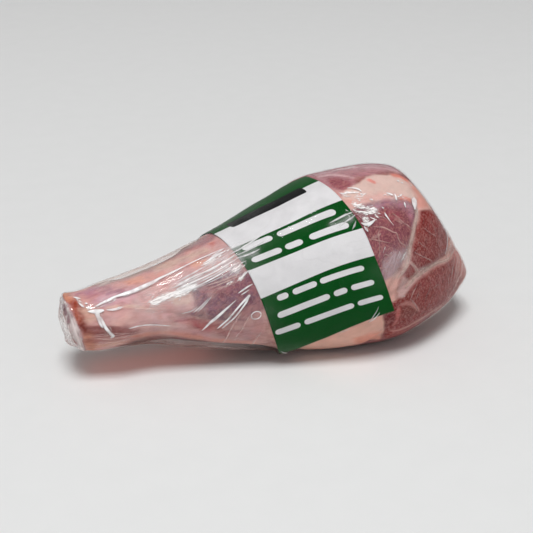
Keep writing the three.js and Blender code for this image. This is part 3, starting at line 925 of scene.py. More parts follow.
def paint_patches(p, x, clock, tones, fat, relief):
    """Muscles, fat pads and blushes, with a painted shade and a painted sheen among them, each with a soft
    uneven edge and its fibres' heading.
    """
    heading = np.zeros(len(p))
    edge = lumps(p, *PATCH_EDGE)
    for name, tone, fatness, rise, soft, wobble, outline in PATCHES:
        weight = smoothstep(soft, -soft, outline_distance(x, clock, outline) + wobble * edge)
        tones, fat = coat(tones, fat, weight, tone, fatness)
        relief = relief * (1 - weight) + rise * weight
        heading = np.where(weight > 0.5, GRAIN_HEADINGS.get(name, 0), heading)
    return tones, fat, relief, heading


def paint_far_seams(p, tones, fat):
    edge = lumps(p, FAR_SEAM_EDGE)
    for half, path in FAR_SEAMS:
        weight = FAR_SEAM_SHARE * bell(path_distance(p, path)[0] + edge, half)
        tones, fat = coat(tones, fat, weight, FAR_SEAM_TONE, 1)
    return tones, fat


def paint_mottles(p, x, tones):
    """The shank's uneven colour: pink, lilac, cream and red lumps, longer along the leg."""
    shank = MOTTLE_LEAST + (1 - MOTTLE_LEAST) * smoothstep(*MOTTLE_STATIONS, x)
    for i, (tone, share, sizes, level) in enumerate(MOTTLES):
        lump = smoothstep(level, level + MOTTLE_SOFT, noise(p, sizes, MOTTLE_SEED + i))
        tones = blend(tones, linear(*tone), share * shank * lump)
    return tones


def rim_station(p):
    """Distance along the leg from the saw's plane, stretched where the cut muscle ends sooner."""
    up = off_middle(p)[:, 1]
    station = p[:, 0] - FIRST_X + SAW_SLANT * up
    return station + RIM_TOP_SOONER * smoothstep(*RIM_TOP, up) - RIM_MIDDLE_LATER * bell(up, RIM_MIDDLE_REACH)


def paint_rim(p, tones, fat):
    """The dried orange-brown crust round the sawn end."""
    uneven = 1 - CRUST_UNEVEN[0] + lumps(p, CRUST_UNEVEN)
    crust = bell(rim_station(p) - RIM_MIDDLE, RIM_REACH) * uneven
    tones, fat = coat(tones, fat, CRUST_SHARE * crust, RIM_CRUST, RIM_FAT)
    for i, (tone, share, sizes, level) in enumerate(RIM_SPOTS):
        spot = smoothstep(level, level + RIM_SPOT_SOFT, noise(p, sizes, RIM_SPOT_SEED + i))
        tones, fat = coat(tones, fat, share * crust * spot, tone, RIM_FAT)
    return tones, fat


def paint_strokes(p, tones, fat):
    """Seams, veins, streaks and specks, each along a path."""
    edge = lumps(p, STROKE_EDGE) - SIDE_BELOW
    for tone, fatness, opacity, (first, last), path in STROKES:
        d, where = path_distance(p, path)
        weight = opacity * bell(np.maximum(d + edge, 0), first + (last - first) * where)
        tones, fat = coat(tones, fat, weight, tone, fatness)
    return tones, fat


def face_spots(p):
    """Each spot's share at each point of the sawn face."""
    torn = lumps(p, SPOT_TORN)
    return [
        smoothstep(*SPOT_EDGE, length((off_middle(p) - place) / reach) + torn)
        for _, _, place, reach in FACE_SPOTS
    ]


def paint_sawn_face(p, tones, fat):
    """The cut muscle round the bone: mauve, painted lighter for the light that the sawn end lacks, with
    purple, brown and pale places.
    """
    face = smoothstep(*FACE_EDGE, rim_station(p) + lumps(p, FACE_EDGE_UNEVEN))
    tones, fat = coat(tones, fat, face, FACE_MUSCLE_PAINTED_LIGHTER, FACE_MUSCLE_FAT)
    for (tone, *_), spot in zip(FACE_SPOTS, face_spots(p)):
        tones, fat = coat(tones, fat, SPOT_SHARE * face * spot, tone, SPOT_FAT)
    return tones, fat


def paint_meat(p, x, clock):
    """Colour, fatness, relief and weave at each point of the meat."""
    cover = smoothstep(*FAR_COVER_LEVELS, lumps(p, *FAR_COVER))
    tones, fat = linear(*MEAT_BASE) + np.zeros_like(p), np.zeros(len(p))
    tones, fat = coat(tones, fat, COVER_SHARE * cover, COVER_TONE, 1)
    tones, fat, relief, heading = paint_patches(p, x, clock, tones, fat, COVER_RELIEF * cover)
    tones, fat = paint_far_seams(p, tones, fat)
    tones, fat = paint_rim(p, paint_mottles(p, x, tones), fat)
    tones, fat = paint_strokes(p, tones, fat)
    return *paint_sawn_face(p, tones, fat), relief, weave_at(x, clock, heading)


# ------------------------------------------------------------------ film's looks

MILK = (0.93, 0.93, 0.94)
HAZES_SHEENS_AND_SHADE = [  # where the film is milky, with painted sheen and painted shade among them: strength, half-width, tone, path
    # milky patches in the bands where the film shines: film haze, and in part painted sheen
    (0.30, 10, MILK, [(-112, 60), (-98, 57.5), (-88, 55.5), (-77, 51.5)]),
    (0.28, 8, MILK, [(-56, 45), (-48, 47), (-40, 49)]),
    (0.16, 9, MILK, [(-60, 36), (-48, 42), (-40, 50)]),
    (0.20, 12, MILK, [(62, 80), (72, 78), (84, 74)]),
    (0.16, 6, MILK, [(58, 37), (70, 36), (90, 37), (100, 42)]),
    (0.20, 12, MILK, [(44, -10), (60, -8), (80, -6), (100, -4)]),
    # the film over the top web: its haze, with a tone that in part paints its reflection at a grazing angle
    (0.95, 9, linear(212, 196, 188), [(-136, -13), (-118, -14), (-95, -15), (-72, -17)]),
    # a dark brown sheet on the film under the shank: painted shade
    (0.92, 12, linear(118, 76, 66), [(-122, 146), (-90, 148), (-50, 153), (-5, 160)]),
    # pink haze over the rump's tip, raised to lighten that side: in part painted light
    (0.42, 11, linear(228, 188, 180), [(166, 56), (170, 80), (170, 104), (162, 124)]),
]
LABEL_PAINTED_SHEENS = [  # where the film over the label is milky, as painted glare at the ends of its band
    (0.34, 4.0, MILK, [(-46, 28), (-38, 30), (-30, 32)]),
    (0.30, 3.4, MILK, [(-42, 42), (-34, 43), (-28, 43)]),
    (0.40, 3.0, MILK, [(30, 45), (37, 45), (43, 43)]),
]
BASE_HAZE, BASE_UNEVEN = 0.06, (0.9, (16, 7, 7), 61)
BASE_HAZE_ENDS = (0, -60), (-156, -136)  # stations where it fades in and out again
RAGGED, STREAKY, HAZE_LEVEL = (0.5, 4, 62), (0.6, (14, 1.8, 1.8), 66), 0.65
LEAST_HAZE, MOST_HAZE = 1e-6, 0.9
LABEL_DULLS, UNDER_DULLS = 0.9, 0.6  # of the film's gloss is lost on the paper and underneath
UNDER_CLOCK, UNDER_REACH = 160, 34
PAINTED_GLARES = [  # torn patches of glare, painted as flat white on the film for highlights: cover, half-width, heading, path
    (0.85, 4.2, -8, [(-108, 59.5), (-102, 58.8), (-96, 57.8), (-90, 56), (-84, 55.8), (-77, 54.5)]),
    (0.40, 7.0, -30, [(-106, 63), (-98, 61), (-90, 59), (-82, 58)]),
    (0.58, 3.4, -20, [(-50, 53), (-46, 51), (-41, 49), (-37, 47.5)]),
    (0.36, 7.0, -35, [(-60, 53), (-52, 55), (-45, 57), (-38, 57)]),
    (0.50, 3.2, -12, [(-70, 34), (-62, 31.5), (-54, 30), (-46, 29)]),
    (0.45, 3.2, -10, [(-146, 41), (-130, 37), (-112, 36), (-100, 33)]),
    (0.50, 2.6, 70, [(-157, 12), (-156, 24), (-154, 34), (-150, 41)]),
    (0.50, 2.6, 80, [(-147, 52), (-146, 62), (-144, 78), (-141, 92)]),
    (0.74, 3.0, -4, [(49, 33.5), (54, 36.5), (60, 38.5), (64, 40)]),
    (0.70, 3.6, 20, [(48, 39), (53, 41), (58, 41.5), (64, 41)]),
    (0.56, 4.4, 40, [(44, 40), (52, 45), (58, 46), (66, 44)]),
    (0.48, 4.0, 10, [(44, 25), (52, 24), (58, 28), (52, 31)]),
    (0.46, 3.0, 0, [(76, 31), (84, 33), (92, 34)]),
    (0.52, 3.0, 0, [(48, -8), (56, -6), (64, -5)]),
    (0.55, 2.2, 80, [(104, 34), (104, 42), (103, 46)]),
    (0.56, 3.0, -12, [(-47, 45), (-42, 44)]),
    (0.60, 4.0, 10, [(-110, 300), (-96, 302), (-84, 303)]),
    (0.58, 4.0, -14, [(-40, 312), (-26, 314), (-10, 318)]),
    (0.60, 4.5, 20, [(66, 304), (80, 306), (94, 308)]),
    (0.56, 4.0, -20, [(112, 296), (122, 300), (128, 308)]),
    (0.52, 4.0, 8, [(10, 286), (24, 284), (40, 284)]),
    (0.30, 6.0, -60, [(68, 68), (76, 70), (86, 72)]),
    (0.34, 3.0, 20, [(79, 97), (85, 98)]),
]
NO_GLARE_HEADING = -8.0
# the milk over the sawn end, painted brighter to stand in for the light that end lacks
END_MILK_PAINTED_LIGHTER = linear(250, 241, 238)
END_EDGE_UNEVEN = (0.8, 5, 65)
END_WISPS = [(1.0, (4, 3.0, 11), 63), (0.6, (3, 2.2, 5), 64)]
END_VEIL, VEIL_FAR_SIDE, VEIL_WISPS, VEIL_MOST = 0.34, 0.12, 0.34, 0.8
VEIL_STATIONS = (-4, 10)  # across, between which the veil thickens towards the far side
BONE_CLEAR, BONE_CLEAR_REACH = 0.65, BONE_RADIUS + 3
END_BAND, END_BAND_SHARE, END_BAND_REACH = 0.80, 0.945, 0.035  # a milkier band inside the near rim
END_BAND_STATIONS, END_BAND_LEVEL, END_BAND_WISPS = (4, -6), 0.8, 0.5
SPOT_VEIL = 0.55  # the veil's density over a spot of the sawn face
# painted glare over the bunched film on the sawn end
END_PAINTED_GLARE, END_PAINTED_GLARE_UNEVEN = 0.24, (0.14, 7, 67)
END_STRETCH = (1, 1.6, 1)


def lay_hazes(p, haze, tone):
    """The film's milky places over its base haze, some of them painted sheen and shade: the haze, and the
    tone of its milk.
    """
    ragged, streaky = (np.clip(HAZE_LEVEL + lumps(p, uneven), 0, 1) for uneven in (RAGGED, STREAKY))
    bare = 1 - LABEL_DULLS * label_nearness(p)[0]
    for hazes, where in ((HAZES_SHEENS_AND_SHADE, bare), (LABEL_PAINTED_SHEENS, 1)):
        for strength, half, milk, path in hazes:
            edge = ragged if milk is MILK else streaky
            added = strength * bell(path_distance(p, path)[0], half) * edge * where * (1 - haze)
            haze = haze + added
            tone = blend(tone, milk, added / np.maximum(haze, LEAST_HAZE))
    return haze, tone


def lay_painted_glares(p):
    """The film's painted glare, white standing in for highlights, and the heading of the stretch that tears
    it.
    """
    painted_glare = np.zeros(len(p))
    heading = np.full(len(p), NO_GLARE_HEADING)
    for cover, half, turn, path in PAINTED_GLARES:
        here = cover * bell(path_distance(p, path)[0], half)
        heading = np.where(here > painted_glare, turn, heading)
        painted_glare = np.maximum(painted_glare, here)
    return painted_glare, heading


def end_veil(p):
    """The milky veil over the sawn end, and the share of the milkier band by its near rim."""
    off = off_middle(p)
    wisps = lumps(p, *END_WISPS)
    thin = 1 - BONE_CLEAR * bell(length(off - BONE_MIDDLE), BONE_CLEAR_REACH)
    density = END_VEIL + VEIL_FAR_SIDE * smoothstep(*VEIL_STATIONS, off[:, 0]) + VEIL_WISPS * wisps
    near_rim = bell(length(off) / SAWN_HALF - END_BAND_SHARE, END_BAND_REACH)
    near_rim = near_rim * smoothstep(*END_BAND_STATIONS, off[:, 0])
    band = END_BAND * near_rim * np.clip(END_BAND_LEVEL + END_BAND_WISPS * wisps, 0, 1)
    return np.maximum(thin * np.clip(density, 0, VEIL_MOST), band), near_rim


def paint_film_end(p, end, haze, tone, painted_glare):
    """The bunched film over the sawn end, with the face's spots seen through it and its painted glare."""
    veil, near_rim = end_veil(p)
    tone = blend(tone, END_MILK_PAINTED_LIGHTER, end)
    seen = np.zeros(len(p))
    for (spot_tone, through, *_), spot in zip(FACE_SPOTS, face_spots(p)):
        share = through * spot * (1 - near_rim)
        veil = veil * (1 - share) + SPOT_VEIL * share
        tone = blend(tone, linear(*spot_tone), share * end)
        seen = np.maximum(seen, share)
    end_painted_glare = end * (1 - seen) * (END_PAINTED_GLARE + lumps(p, END_PAINTED_GLARE_UNEVEN))
    return haze + end * veil, tone, np.maximum(painted_glare, end_painted_glare)


def paint_film(p, x, clock):
    """The film's haze with its painted sheen and shade, the tone of its milk, its painted glare and the run
    of its stretch.
    """
    on_shank = np.prod([smoothstep(*ends, p[:, 0]) for ends in BASE_HAZE_ENDS], axis=0)
    haze = BASE_HAZE * on_shank * (1 + lumps(p, BASE_UNEVEN))
    haze, tone = lay_hazes(p, haze, np.array(MILK) + np.zeros_like(p))
    painted_glare, heading = lay_painted_glares(p)
    end = smoothstep(*FACE_EDGE, rim_station(p) + lumps(p, END_EDGE_UNEVEN))
    haze, tone, painted_glare = paint_film_end(p, end, haze, tone, painted_glare)
    stretch = np.where(end[:, None] > 0.5, p[:, ::-1] * END_STRETCH, weave_at(x, clock, heading))
    return np.clip(haze, 0, MOST_HAZE), tone, painted_glare, stretch


# ------------------------------------------------------------------ strips: creases and painted glints, sinews

STRIP_SIDES, STRIP_STEPS = 8, 5
STRIP_LEAST = 0.05  # the least half-width along a strip
TIP = 0.1  # the half-width where a point of a strip gives none
CREST_GAIN = 1.25
FAR_TURN = 352  # clock angles that mirror each other add up to this
CREASES_AND_GLINTS = [  # sharp folds of the film, whose milky crests are in part painted highlights: milkiness, path of [x, clock, half-width]
    (1.0, [(-148, 41), (-143, 39.5, 0.8), (-137, 38, 1.3), (-132, 36, 0.8), (-126, 37, 1.3), (-119, 37, 1.4),
        (-112, 35, 1.5), (-104, 32.5, 1.4), (-98, 30, 0.9), (-85, 27.5, 0.55), (-71, 25.5, 0.4),
        (-59, 25, 0.35), (-49, 25)]),
    (0.8, [(-128, 40), (-119, 39.5, 0.5), (-110, 37, 0.5), (-104, 34.5)]),
    (0.9, [(-92, 49), (-84, 46.5, 0.8), (-77, 44, 0.5), (-62, 42, 0.5), (-48, 38.5, 0.4), (-42, 37)]),
    (0.9, [(-90, 52.5, 0.3), (-82, 50.5, 0.9), (-73, 49, 0.55), (-60, 46.5, 0.5), (-49, 43.5, 0.4),
        (-40, 41)]),
    (0.9, [(-88, 57, 0.3), (-80, 56, 0.8), (-73, 55, 0.6), (-60, 51.5, 0.55), (-48, 47.5, 0.5), (-40, 45)]),
    (0.7, [(-80, 45.5), (-70, 43, 0.3), (-56, 40, 0.3), (-47, 36)]),
    (0.7, [(-78, 53.5), (-66, 50.5, 0.35), (-54, 47, 0.3), (-45, 44)]),
    (0.9, [(-67, 33), (-62, 31.5, 0.8), (-57, 30, 1.3), (-52, 29.5, 0.9), (-47, 29)]),
    (0.75, [(-60, 28.5), (-54, 27, 0.6), (-48, 25)]),
    (0.85, [(-45, 61.5), (-41, 59, 0.5), (-37, 56.5, 0.6), (-34, 55)]),
    (0.9, [(-45, 72), (-41, 70, 0.7), (-37, 68.3, 0.6), (-33, 67)]),
    (0.75, [(-43, 74), (-40, 72.8, 0.5), (-36, 71)]),
    (1.0, [(-72.5, 108), (-69, 102.5, 0.8), (-64, 95, 1.2), (-57, 86.8, 1.0), (-51, 81, 0.6), (-46, 77)]),
    (0.95, [(-61, 107), (-58, 102.5, 0.7), (-52, 94, 0.7), (-46, 85.5, 0.7), (-41, 80, 0.9),
        (-37, 76.5, 1.0), (-36, 75.5)]),
    (0.95, [(-57.5, 107), (-54, 102, 0.6), (-48, 94, 0.6), (-42.5, 86, 0.6), (-39, 81, 0.8), (-36.5, 76.5)]),
    (0.7, [(-79, 83.5), (-76, 80.5, 0.5), (-72, 76.5, 0.5), (-65, 68.5)]),
    (0.7, [(-76, 83.5), (-72, 79, 0.5), (-68, 74, 0.5), (-64, 69)]),
    (0.6, [(-88, 83), (-83, 82, 0.4), (-79, 80.5, 0.4), (-74, 76)]),
    (0.45, [(-42, 88), (-46, 96, 0.5), (-50, 107, 0.6), (-54, 124, 0.5), (-57, 134)]),
    (0.45, [(-27, 112), (-29, 119, 0.6), (-31, 127, 0.6), (-33, 136)]),
    (0.35, [(-36, 92), (-40, 102, 0.4), (-44, 114, 0.4), (-47, 126)]),
    (1.0, [(-153, 45.5), (-151, 46.8, 1.0), (-148, 49, 1.7), (-145.5, 50.6, 1.6), (-143, 51.2, 1.1),
        (-141.5, 51.5)]),
    (1.0, [(-147.5, 49, 0.4), (-147, 54, 1.9), (-147, 60, 1.4), (-147, 68, 1.0), (-146.3, 76, 0.8),
        (-146, 80)]),
    (1.0, [(-146.3, 57, 0.2), (-145.3, 64, 1.0), (-144.6, 73, 1.1), (-143.6, 82, 1.2), (-141.5, 91, 1.0),
        (-140, 97, 1.3), (-140.5, 100, 0.2)]),
    (0.8, [(-140, 95), (-140.6, 98, 0.9), (-142.5, 100, 0.3)]),
    (0.9, [(-140.5, 52), (-138, 53.4, 0.8), (-135, 55, 0.9), (-131, 55.3, 0.7), (-128, 55)]),
    (0.7, [(-134, 54), (-131.5, 54, 0.7), (-129, 54)]),
    (0.85, [(-128, 91.4), (-123, 91, 0.6), (-117, 91.7, 0.5), (-108, 94.5, 0.6), (-101, 97, 0.5),
        (-95, 98.5)]),
    (0.5, [(-152, 97), (-147, 100, 0.4), (-143, 103.5, 0.4), (-136, 107)]),
    (0.5, [(-122, 62), (-114, 67, 0.4), (-106, 71, 0.45), (-98, 75)]),
    (0.4, [(-116, 57), (-110, 63, 0.4), (-104, 68, 0.4), (-98, 71)]),
    (0.9, [(-159.5, 10.5), (-157.5, 13.5, 0.8), (-155.5, 17, 0.6), (-154.5, 19)]),
    (0.85, [(-157.5, 24), (-156.3, 29, 0.6), (-155, 34, 0.8), (-154, 38)]),
    (0.95, [(-153, 29), (-152, 30.5, 0.9), (-151, 31.5)]),
    (1.0, [(-152, 38.5), (-151, 39.7, 1.1), (-149.7, 40.5)]),
    # over the label's band at both ends, in part painted glare
    (0.7, [(-47, 35), (-38, 34, 0.6), (-30, 32.6, 0.8), (-22, 31, 0.4), (-16, 30)]),
    (0.6, [(-45, 38.5), (-36, 38.5, 0.5), (-28, 38, 0.6), (-20, 37)]),
    (0.75, [(-43, 41), (-36, 42, 0.6), (-30, 42.2, 0.7), (-24, 41.5)]),
    (0.75, [(27, 43), (33, 42, 0.7), (40, 40.6, 0.8), (46.5, 39.8, 0.2)]),
    (0.65, [(34, 46.6), (40, 44.8, 0.6), (45, 43.2, 0.7), (48, 41.8)]),
    (0.55, [(47.5, 45.5), (45.5, 48.5, 0.8), (43, 51)]),
    # the rump
    (1.0, [(101.8, 33.5, 0.4), (101.8, 36, 2.6), (101.6, 39, 2.6), (101.4, 41.5, 1.2), (101.4, 43.5, 0.2)]),
    (0.95, [(91, 37.5), (91, 39.5, 0.9), (91.2, 42)]),
    (0.95, [(76.5, 29.8), (79, 30.6, 0.7), (81.5, 31.8, 0.8), (82.5, 32.5)]),
    (0.9, [(83.5, 31), (84.2, 32.6, 0.7), (84.2, 35, 0.9), (84.4, 36.2)]),
    (0.9, [(87, 34), (88.6, 32.8, 0.7), (91, 31.6)]),
    (0.8, [(89.8, 20), (91, 20.5, 0.9), (92.3, 21)]),
    (0.8, [(93, 21.5), (94.3, 22.1, 0.8), (95.5, 22.5)]),
    (0.7, [(102, 22.7), (103.2, 23.1, 0.8), (104.3, 23.5)]),
    (0.85, [(48, 20), (52, 21, 0.6), (56, 23, 0.9), (58.4, 26.3, 0.3)]),
    (0.7, [(56, 27.2), (57.2, 27.7, 0.8), (58.3, 28)]),
    (0.7, [(40.5, 22.5), (43.5, 23.7, 0.6), (48, 25.6)]),
    (0.6, [(42.5, 25.4), (45.5, 26.8, 0.5), (50, 28)]),
    (0.85, [(62, 32.5), (63.5, 33.2, 0.9), (65, 33.8)]),
    (0.85, [(70, 39.4), (71, 40.3, 0.7), (71.6, 41.2)]),
    (0.9, [(71.4, 43.2), (72, 45.3, 0.8), (73.3, 47.5, 0.4), (75, 50, 0.2), (77.5, 53)]),
    (0.9, [(50.5, 47.5), (53.5, 48.8, 1.2), (57.5, 49, 1.4), (61.5, 47.6, 0.6), (62.5, 47)]),
    (0.9, [(52.5, 50), (54, 52, 1.1), (55.3, 54, 0.2)]),
    (0.8, [(55, 51.2), (58, 49.6, 0.7), (61.5, 48.4)]),
    (0.55, [(141, 44), (146, 50, 0.6), (149, 55, 0.8), (149.3, 66, 0.8), (148, 75, 0.7), (146.5, 82)]),
    (0.45, [(152, 48), (157, 54, 0.7), (156, 64, 0.6), (153, 74, 0.6), (147.5, 84)]),
    (0.3, [(161, 82), (158, 92, 0.6), (154, 102.5, 0.6), (149, 112)]),
    (0.3, [(170, 76), (167, 91, 0.6), (161.5, 106, 0.6), (156, 118)]),
    (0.35, [(176, 80), (171, 102, 0.6), (163, 117, 0.7), (152, 125, 0.6), (140, 127)]),
    (0.3, [(152, 97), (147.5, 105, 0.5), (145, 113, 0.5), (141, 122)]),
    (0.45, [(90, 141), (100, 139, 0.5), (113, 134.5, 0.5), (129, 135.5, 0.6), (141, 131.5, 0.5),
        (149, 127.5)]),
    # over the label's foot
    (0.9, [(55, 113), (58.5, 110.5, 0.5), (62, 107, 0.4), (63.5, 105.5)]),
    (0.75, [(32, 119.5), (36, 118, 0.5), (42, 116.8)]),
    (0.6, [(62, 100), (60.5, 104, 0.4), (58, 108, 0.4), (54.5, 113.5)]),
    (0.9, [(-9, 138), (-5, 141.5, 0.8), (1, 145, 0.7), (6, 147)]),
]
CREASE_GAIN, CREASES_PROUD, CREASE_HEIGHT, CREASE_ROUGHNESS = 1.2, 0.12, 0.14, 0.12
FAR_CREASES, FAR_CREASE_SHARE = ((-135, -80), (84, 180)), 0.7  # stations of those that are mirrored
FAINT, FAINT_MILK = 0.5, linear(250, 216, 208)  # faint folds take on the meat's colour
BUBBLE, BUBBLE_FLATTER = (-32, 95, 3.6), 0.8  # x, clock and radius
# the bubble's milky rim, flat white, paints its highlight in part
BUBBLE_MILK, BUBBLE_HALF = 0.8, 0.45
BUBBLE_TURNS, BUBBLE_WHOLE = np.radians(np.linspace(0, 372, 16)), (0.1, 6.2)  # its ends overlap
RIBBING_AND_GLINTS = [  # bands of long fine folds, some with milky lines that paint highlight streaks: milkiness, half-width, count, first and last edge as [x, clock]
    (0.35, 0.45, 8, [(-136, -16), (-110, -24), (-84, -26), (-60, -28)], [(-128, 4), (-104, 2), (-84, -2),
        (-62, -8)]),
    (0.34, 0.4, 10, [(-122, 126), (-104, 123), (-80, 129), (-40, 140), (0, 150)], [(-128, 156), (-104, 154),
        (-80, 156), (-40, 160), (0, 166)]),
    (0.6, 0.34, 10, [(-98, 44), (-72, 37), (-38, 28)], [(-94, 60), (-66, 55), (-37, 50)]),
    (0.5, 0.3, 6, [(-70, 56), (-56, 56), (-38, 53)], [(-66, 66), (-52, 64), (-36, 60)]),
    (0.26, 0.45, 9, [(152, 50), (152, 66), (149, 84), (151, 100)], [(172, 60), (177, 88), (174, 112),
        (160, 136)]),
    (0.18, 0.4, 6, [(150, 104), (136, 122), (116, 134), (96, 142)], [(168, 108), (156, 132), (132, 146),
        (104, 152)]),
    (0.3, 0.4, 7, [(-158, 84), (-140, 90), (-120, 100)], [(-158, 116), (-140, 118), (-122, 114)]),
    (0.3, 0.45, 9, [(152, 240), (150, 262), (146, 284)], [(170, 230), (172, 262), (160, 292)]),
    (0.26, 0.45, 8, [(-140, 210), (-100, 214), (-60, 220)], [(-140, 250), (-100, 252), (-50, 254)]),
    (0.24, 0.45, 8, [(0, 205), (50, 200), (100, 206)], [(-10, 238), (50, 232), (110, 236)]),
    (0.22, 0.35, 8, [(-120, 40), (-100, 34), (-80, 30)], [(-112, 66), (-98, 60), (-82, 58)]),
]
CREASE_SEED, END_FOLD_SEED = 5, 8
RIB_JITTER, RIB_WANDER, RIB_WIDTHS = (0.1, 0.9), 0.8, (0.5, 1.3)
RIB_LEAST = 1.2  # a shorter fold, in rows of its band, is drawn at full length
RIB_TAPER = np.array([0.1, 0.7, 1, 1, 0.7, 0.1])
END_FOLDS = [  # the chief folds across the sawn end: milkiness, path of [across, up, half-width]
    (0.80, [(-19, 9, 0.2), (-19, 2, 0.8), (-18.5, -4, 1.0), (-18, -12, 0.2)]),
    (0.60, [(-9, 11, 0.2), (-10, 3, 0.7), (-9, -5, 0.9), (-6, -11, 0.2)]),
    (0.60, [(15, 16, 0.2), (14, 6, 0.8), (15, -4, 0.9), (12, -16, 0.2)]),
]
END_FOLD_COUNT, END_FOLDS_PROUD, END_FOLD_HEIGHT, END_FOLD_ROUGHNESS = 6, 0.5, 0.35, 0.15
END_FOLD_REACH, END_FOLD_WANDER = (20, 0.93), 1.3  # mm across, and share of the height there
END_FOLD_WIDTHS, END_FOLD_MILK = (0.4, 0.8), (0.25, 0.55)
END_FOLD_TAPER = np.array([0.1, 0.8, 1, 1, 0.8, 0.1])
SINEWS = [  # pale threads of tissue on the muscles: strength, path of [x, clock, half-width]
    (0.6, [(59, 51), (64, 51.8, 0.7), (69, 53, 0.8), (76, 56.5, 0.7), (79, 57.5, 0.6), (80.5, 61.5, 0.6),
        (83, 64, 0.6), (89, 66.5)]),
    (0.5, [(54, 58), (58, 58.8, 0.7), (66, 61, 0.6), (76, 63.8)]),
    (0.5, [(65.5, 52.5), (63.5, 56.5, 0.8), (63.2, 64, 0.5), (62, 73)]),
    (0.55, [(56.5, 58.5, 0.2), (60.5, 57.6, 1.8), (64, 56.8, 1.2), (66, 56)]),
    (0.45, [(78, 44.5), (82, 47.5, 0.9), (87, 51.5, 0.6), (90, 54)]),
    (0.35, [(79, 47.5), (81, 49, 1.8), (84, 51, 1.6), (86, 53)]),
    (0.5, [(88.5, 52), (92, 54, 0.8), (97, 57, 0.5), (99, 58)]),
    (0.4, [(62, 46.5), (66, 45.5, 0.8), (71, 47, 0.6), (76, 52)]),
    (0.55, [(65.5, 70.5), (68, 69, 0.5), (71, 70.2, 0.6), (75, 69.7)]),
    (0.6, [(60.5, 76, 0.2), (63.5, 76.8, 1.0), (67.5, 78)]),
    (0.45, [(84, 64.5), (88, 66, 0.7), (91, 69, 0.7), (92, 72)]),
    (0.45, [(98, 71), (105, 73.8, 0.5), (112, 76.7, 0.6), (121, 80.6, 0.5), (128, 84.3)]),
    (0.35, [(110, 56), (115, 58.5, 0.5), (121, 61, 0.5), (133, 65)]),
    (0.35, [(100, 63.5), (105, 66, 0.5), (111, 69, 0.5), (119, 73)]),
    (0.3, [(118, 50), (124, 54, 0.5), (128, 60, 0.5), (129, 68)]),
    (0.7, [(103, 92), (100, 95, 0.9), (96.5, 98, 0.9), (93, 103)]),
    (0.5, [(105, 98.5), (102.5, 101.5, 0.7), (100.5, 105)]),
    (0.5, [(94, 101.5), (97, 105, 0.8), (100.5, 109.5, 0.8), (103, 116)]),
    (0.35, [(135, 106), (130, 103.5, 0.6), (124, 103, 0.6), (117, 103.8)]),
    (0.4, [(110, 123), (114, 121, 0.7), (118, 118, 0.6), (121, 115.5)]),
    (0.4, [(104, 121), (110, 119.5, 0.6), (116, 115, 0.6), (122, 108)]),
    (0.3, [(120, 96), (118, 101, 0.6), (113, 107, 0.6), (110, 113)]),
]
SINEW_TONE, SEAM_TONE = linear(208, 166, 160), linear(214, 184, 174)
SINEW_GAIN, SINEWS_PROUD, SINEW_HEIGHT = 1.15, 0.25, 0.12
SEAM_BANDS = [  # the fat that shows between the rump's muscles
    (0.85, [(106.5, 41, 0.6), (105.5, 45, 1.7), (104, 50, 2.2), (101, 56, 2.2), (98.5, 61, 2.1),
        (96.5, 66, 2.1), (93, 73, 1.9), (89, 79, 2.2), (85, 82.5, 2.0), (80, 86, 0.4)]),
    (0.85, [(88, 93.5, 0.6), (93, 91.5, 2.7), (99, 90, 2.6), (104, 88.5, 2.4), (112, 88, 2.0),
        (120, 87.5, 1.7), (127, 86.7, 1.5), (136, 86.2, 1.4), (146, 86.7, 1.5), (154, 86, 1.2),
        (161, 81, 1.0), (168, 72, 0.3)]),
    (0.8, [(95, 77.5), (98, 79.5, 0.5), (101, 82.3, 0.8), (104, 85, 1.2), (106, 87.5, 0.5)]),
    (0.6, [(107, 86, 0.4), (112, 85.5, 1.0), (118, 85.8, 0.9), (123, 86.5, 0.2)]),
]
STRIP_UNEVEN, STRIP_LEVELS = (0.45, 3.2, 81), (0.85, 0.2, 1)  # middle, least and most


def strip_body(place, normal, half, height):
    """A closed lens-shaped body along a line of points, tapering to a point at both ends.

    Its last value is each point's share of the strip's milkiness: full along the crest, none at the
    edges and underneath.
    """
    inside = len(place) - 2
    across = unit(np.cross(normal, unit(np.gradient(place, axis=0))))
    turn = 2 * math.pi * np.arange(STRIP_SIDES) / STRIP_SIDES
    ring = (
        place[:, None]
        + across[:, None] * (np.cos(turn)[None, :, None] * half[:, None, None])
        + normal[:, None] * (np.sin(turn)[None, :, None] * height[:, None, None])
    )
    points = np.concatenate([ring[1:-1].reshape(-1, 3), place[:1], place[-1:]])
    crest = np.append(np.tile(np.clip(CREST_GAIN * np.sin(turn), 0, 1), inside), [0, 0])
    return points, capped_faces(inside, STRIP_SIDES), crest


def surface_strips(paths, surface, height):
    """Strips through [x, clock, half-width] points. height is a share of half-width.

    surface gives the places and the normals at stations and clock angles.
    """
    courses = []
    for path in paths:
        path = np.asarray(path, float)
        last = len(path) - 1
        t = np.linspace(0, last, STRIP_STEPS * last + 1)
        width = np.maximum(np.interp(t, np.arange(last + 1), path[:, 2]), STRIP_LEAST)
        courses.append(np.stack([*course(path[:, :2], t), width], -1))
    x, clock, width = np.concatenate(courses).T
    place, normal = surface(x, clock)
    ends = np.cumsum([len(strip) for strip in courses])
    return [
        strip_body(place[a:b], normal[a:b], width[a:b], height * width[a:b])
        for a, b in zip(np.append(0, ends[:-1]), ends)
    ]


def with_tips(strips):
    """The strips with TIP as the half-width wherever a point gives none."""
    return [(strength, [(*point, TIP)[:3] for point in path]) for strength, path in strips]


def far_path(path):
    """The same strip on the far side."""
    return [(x, FAR_TURN - clock, half) for x, clock, half in path]


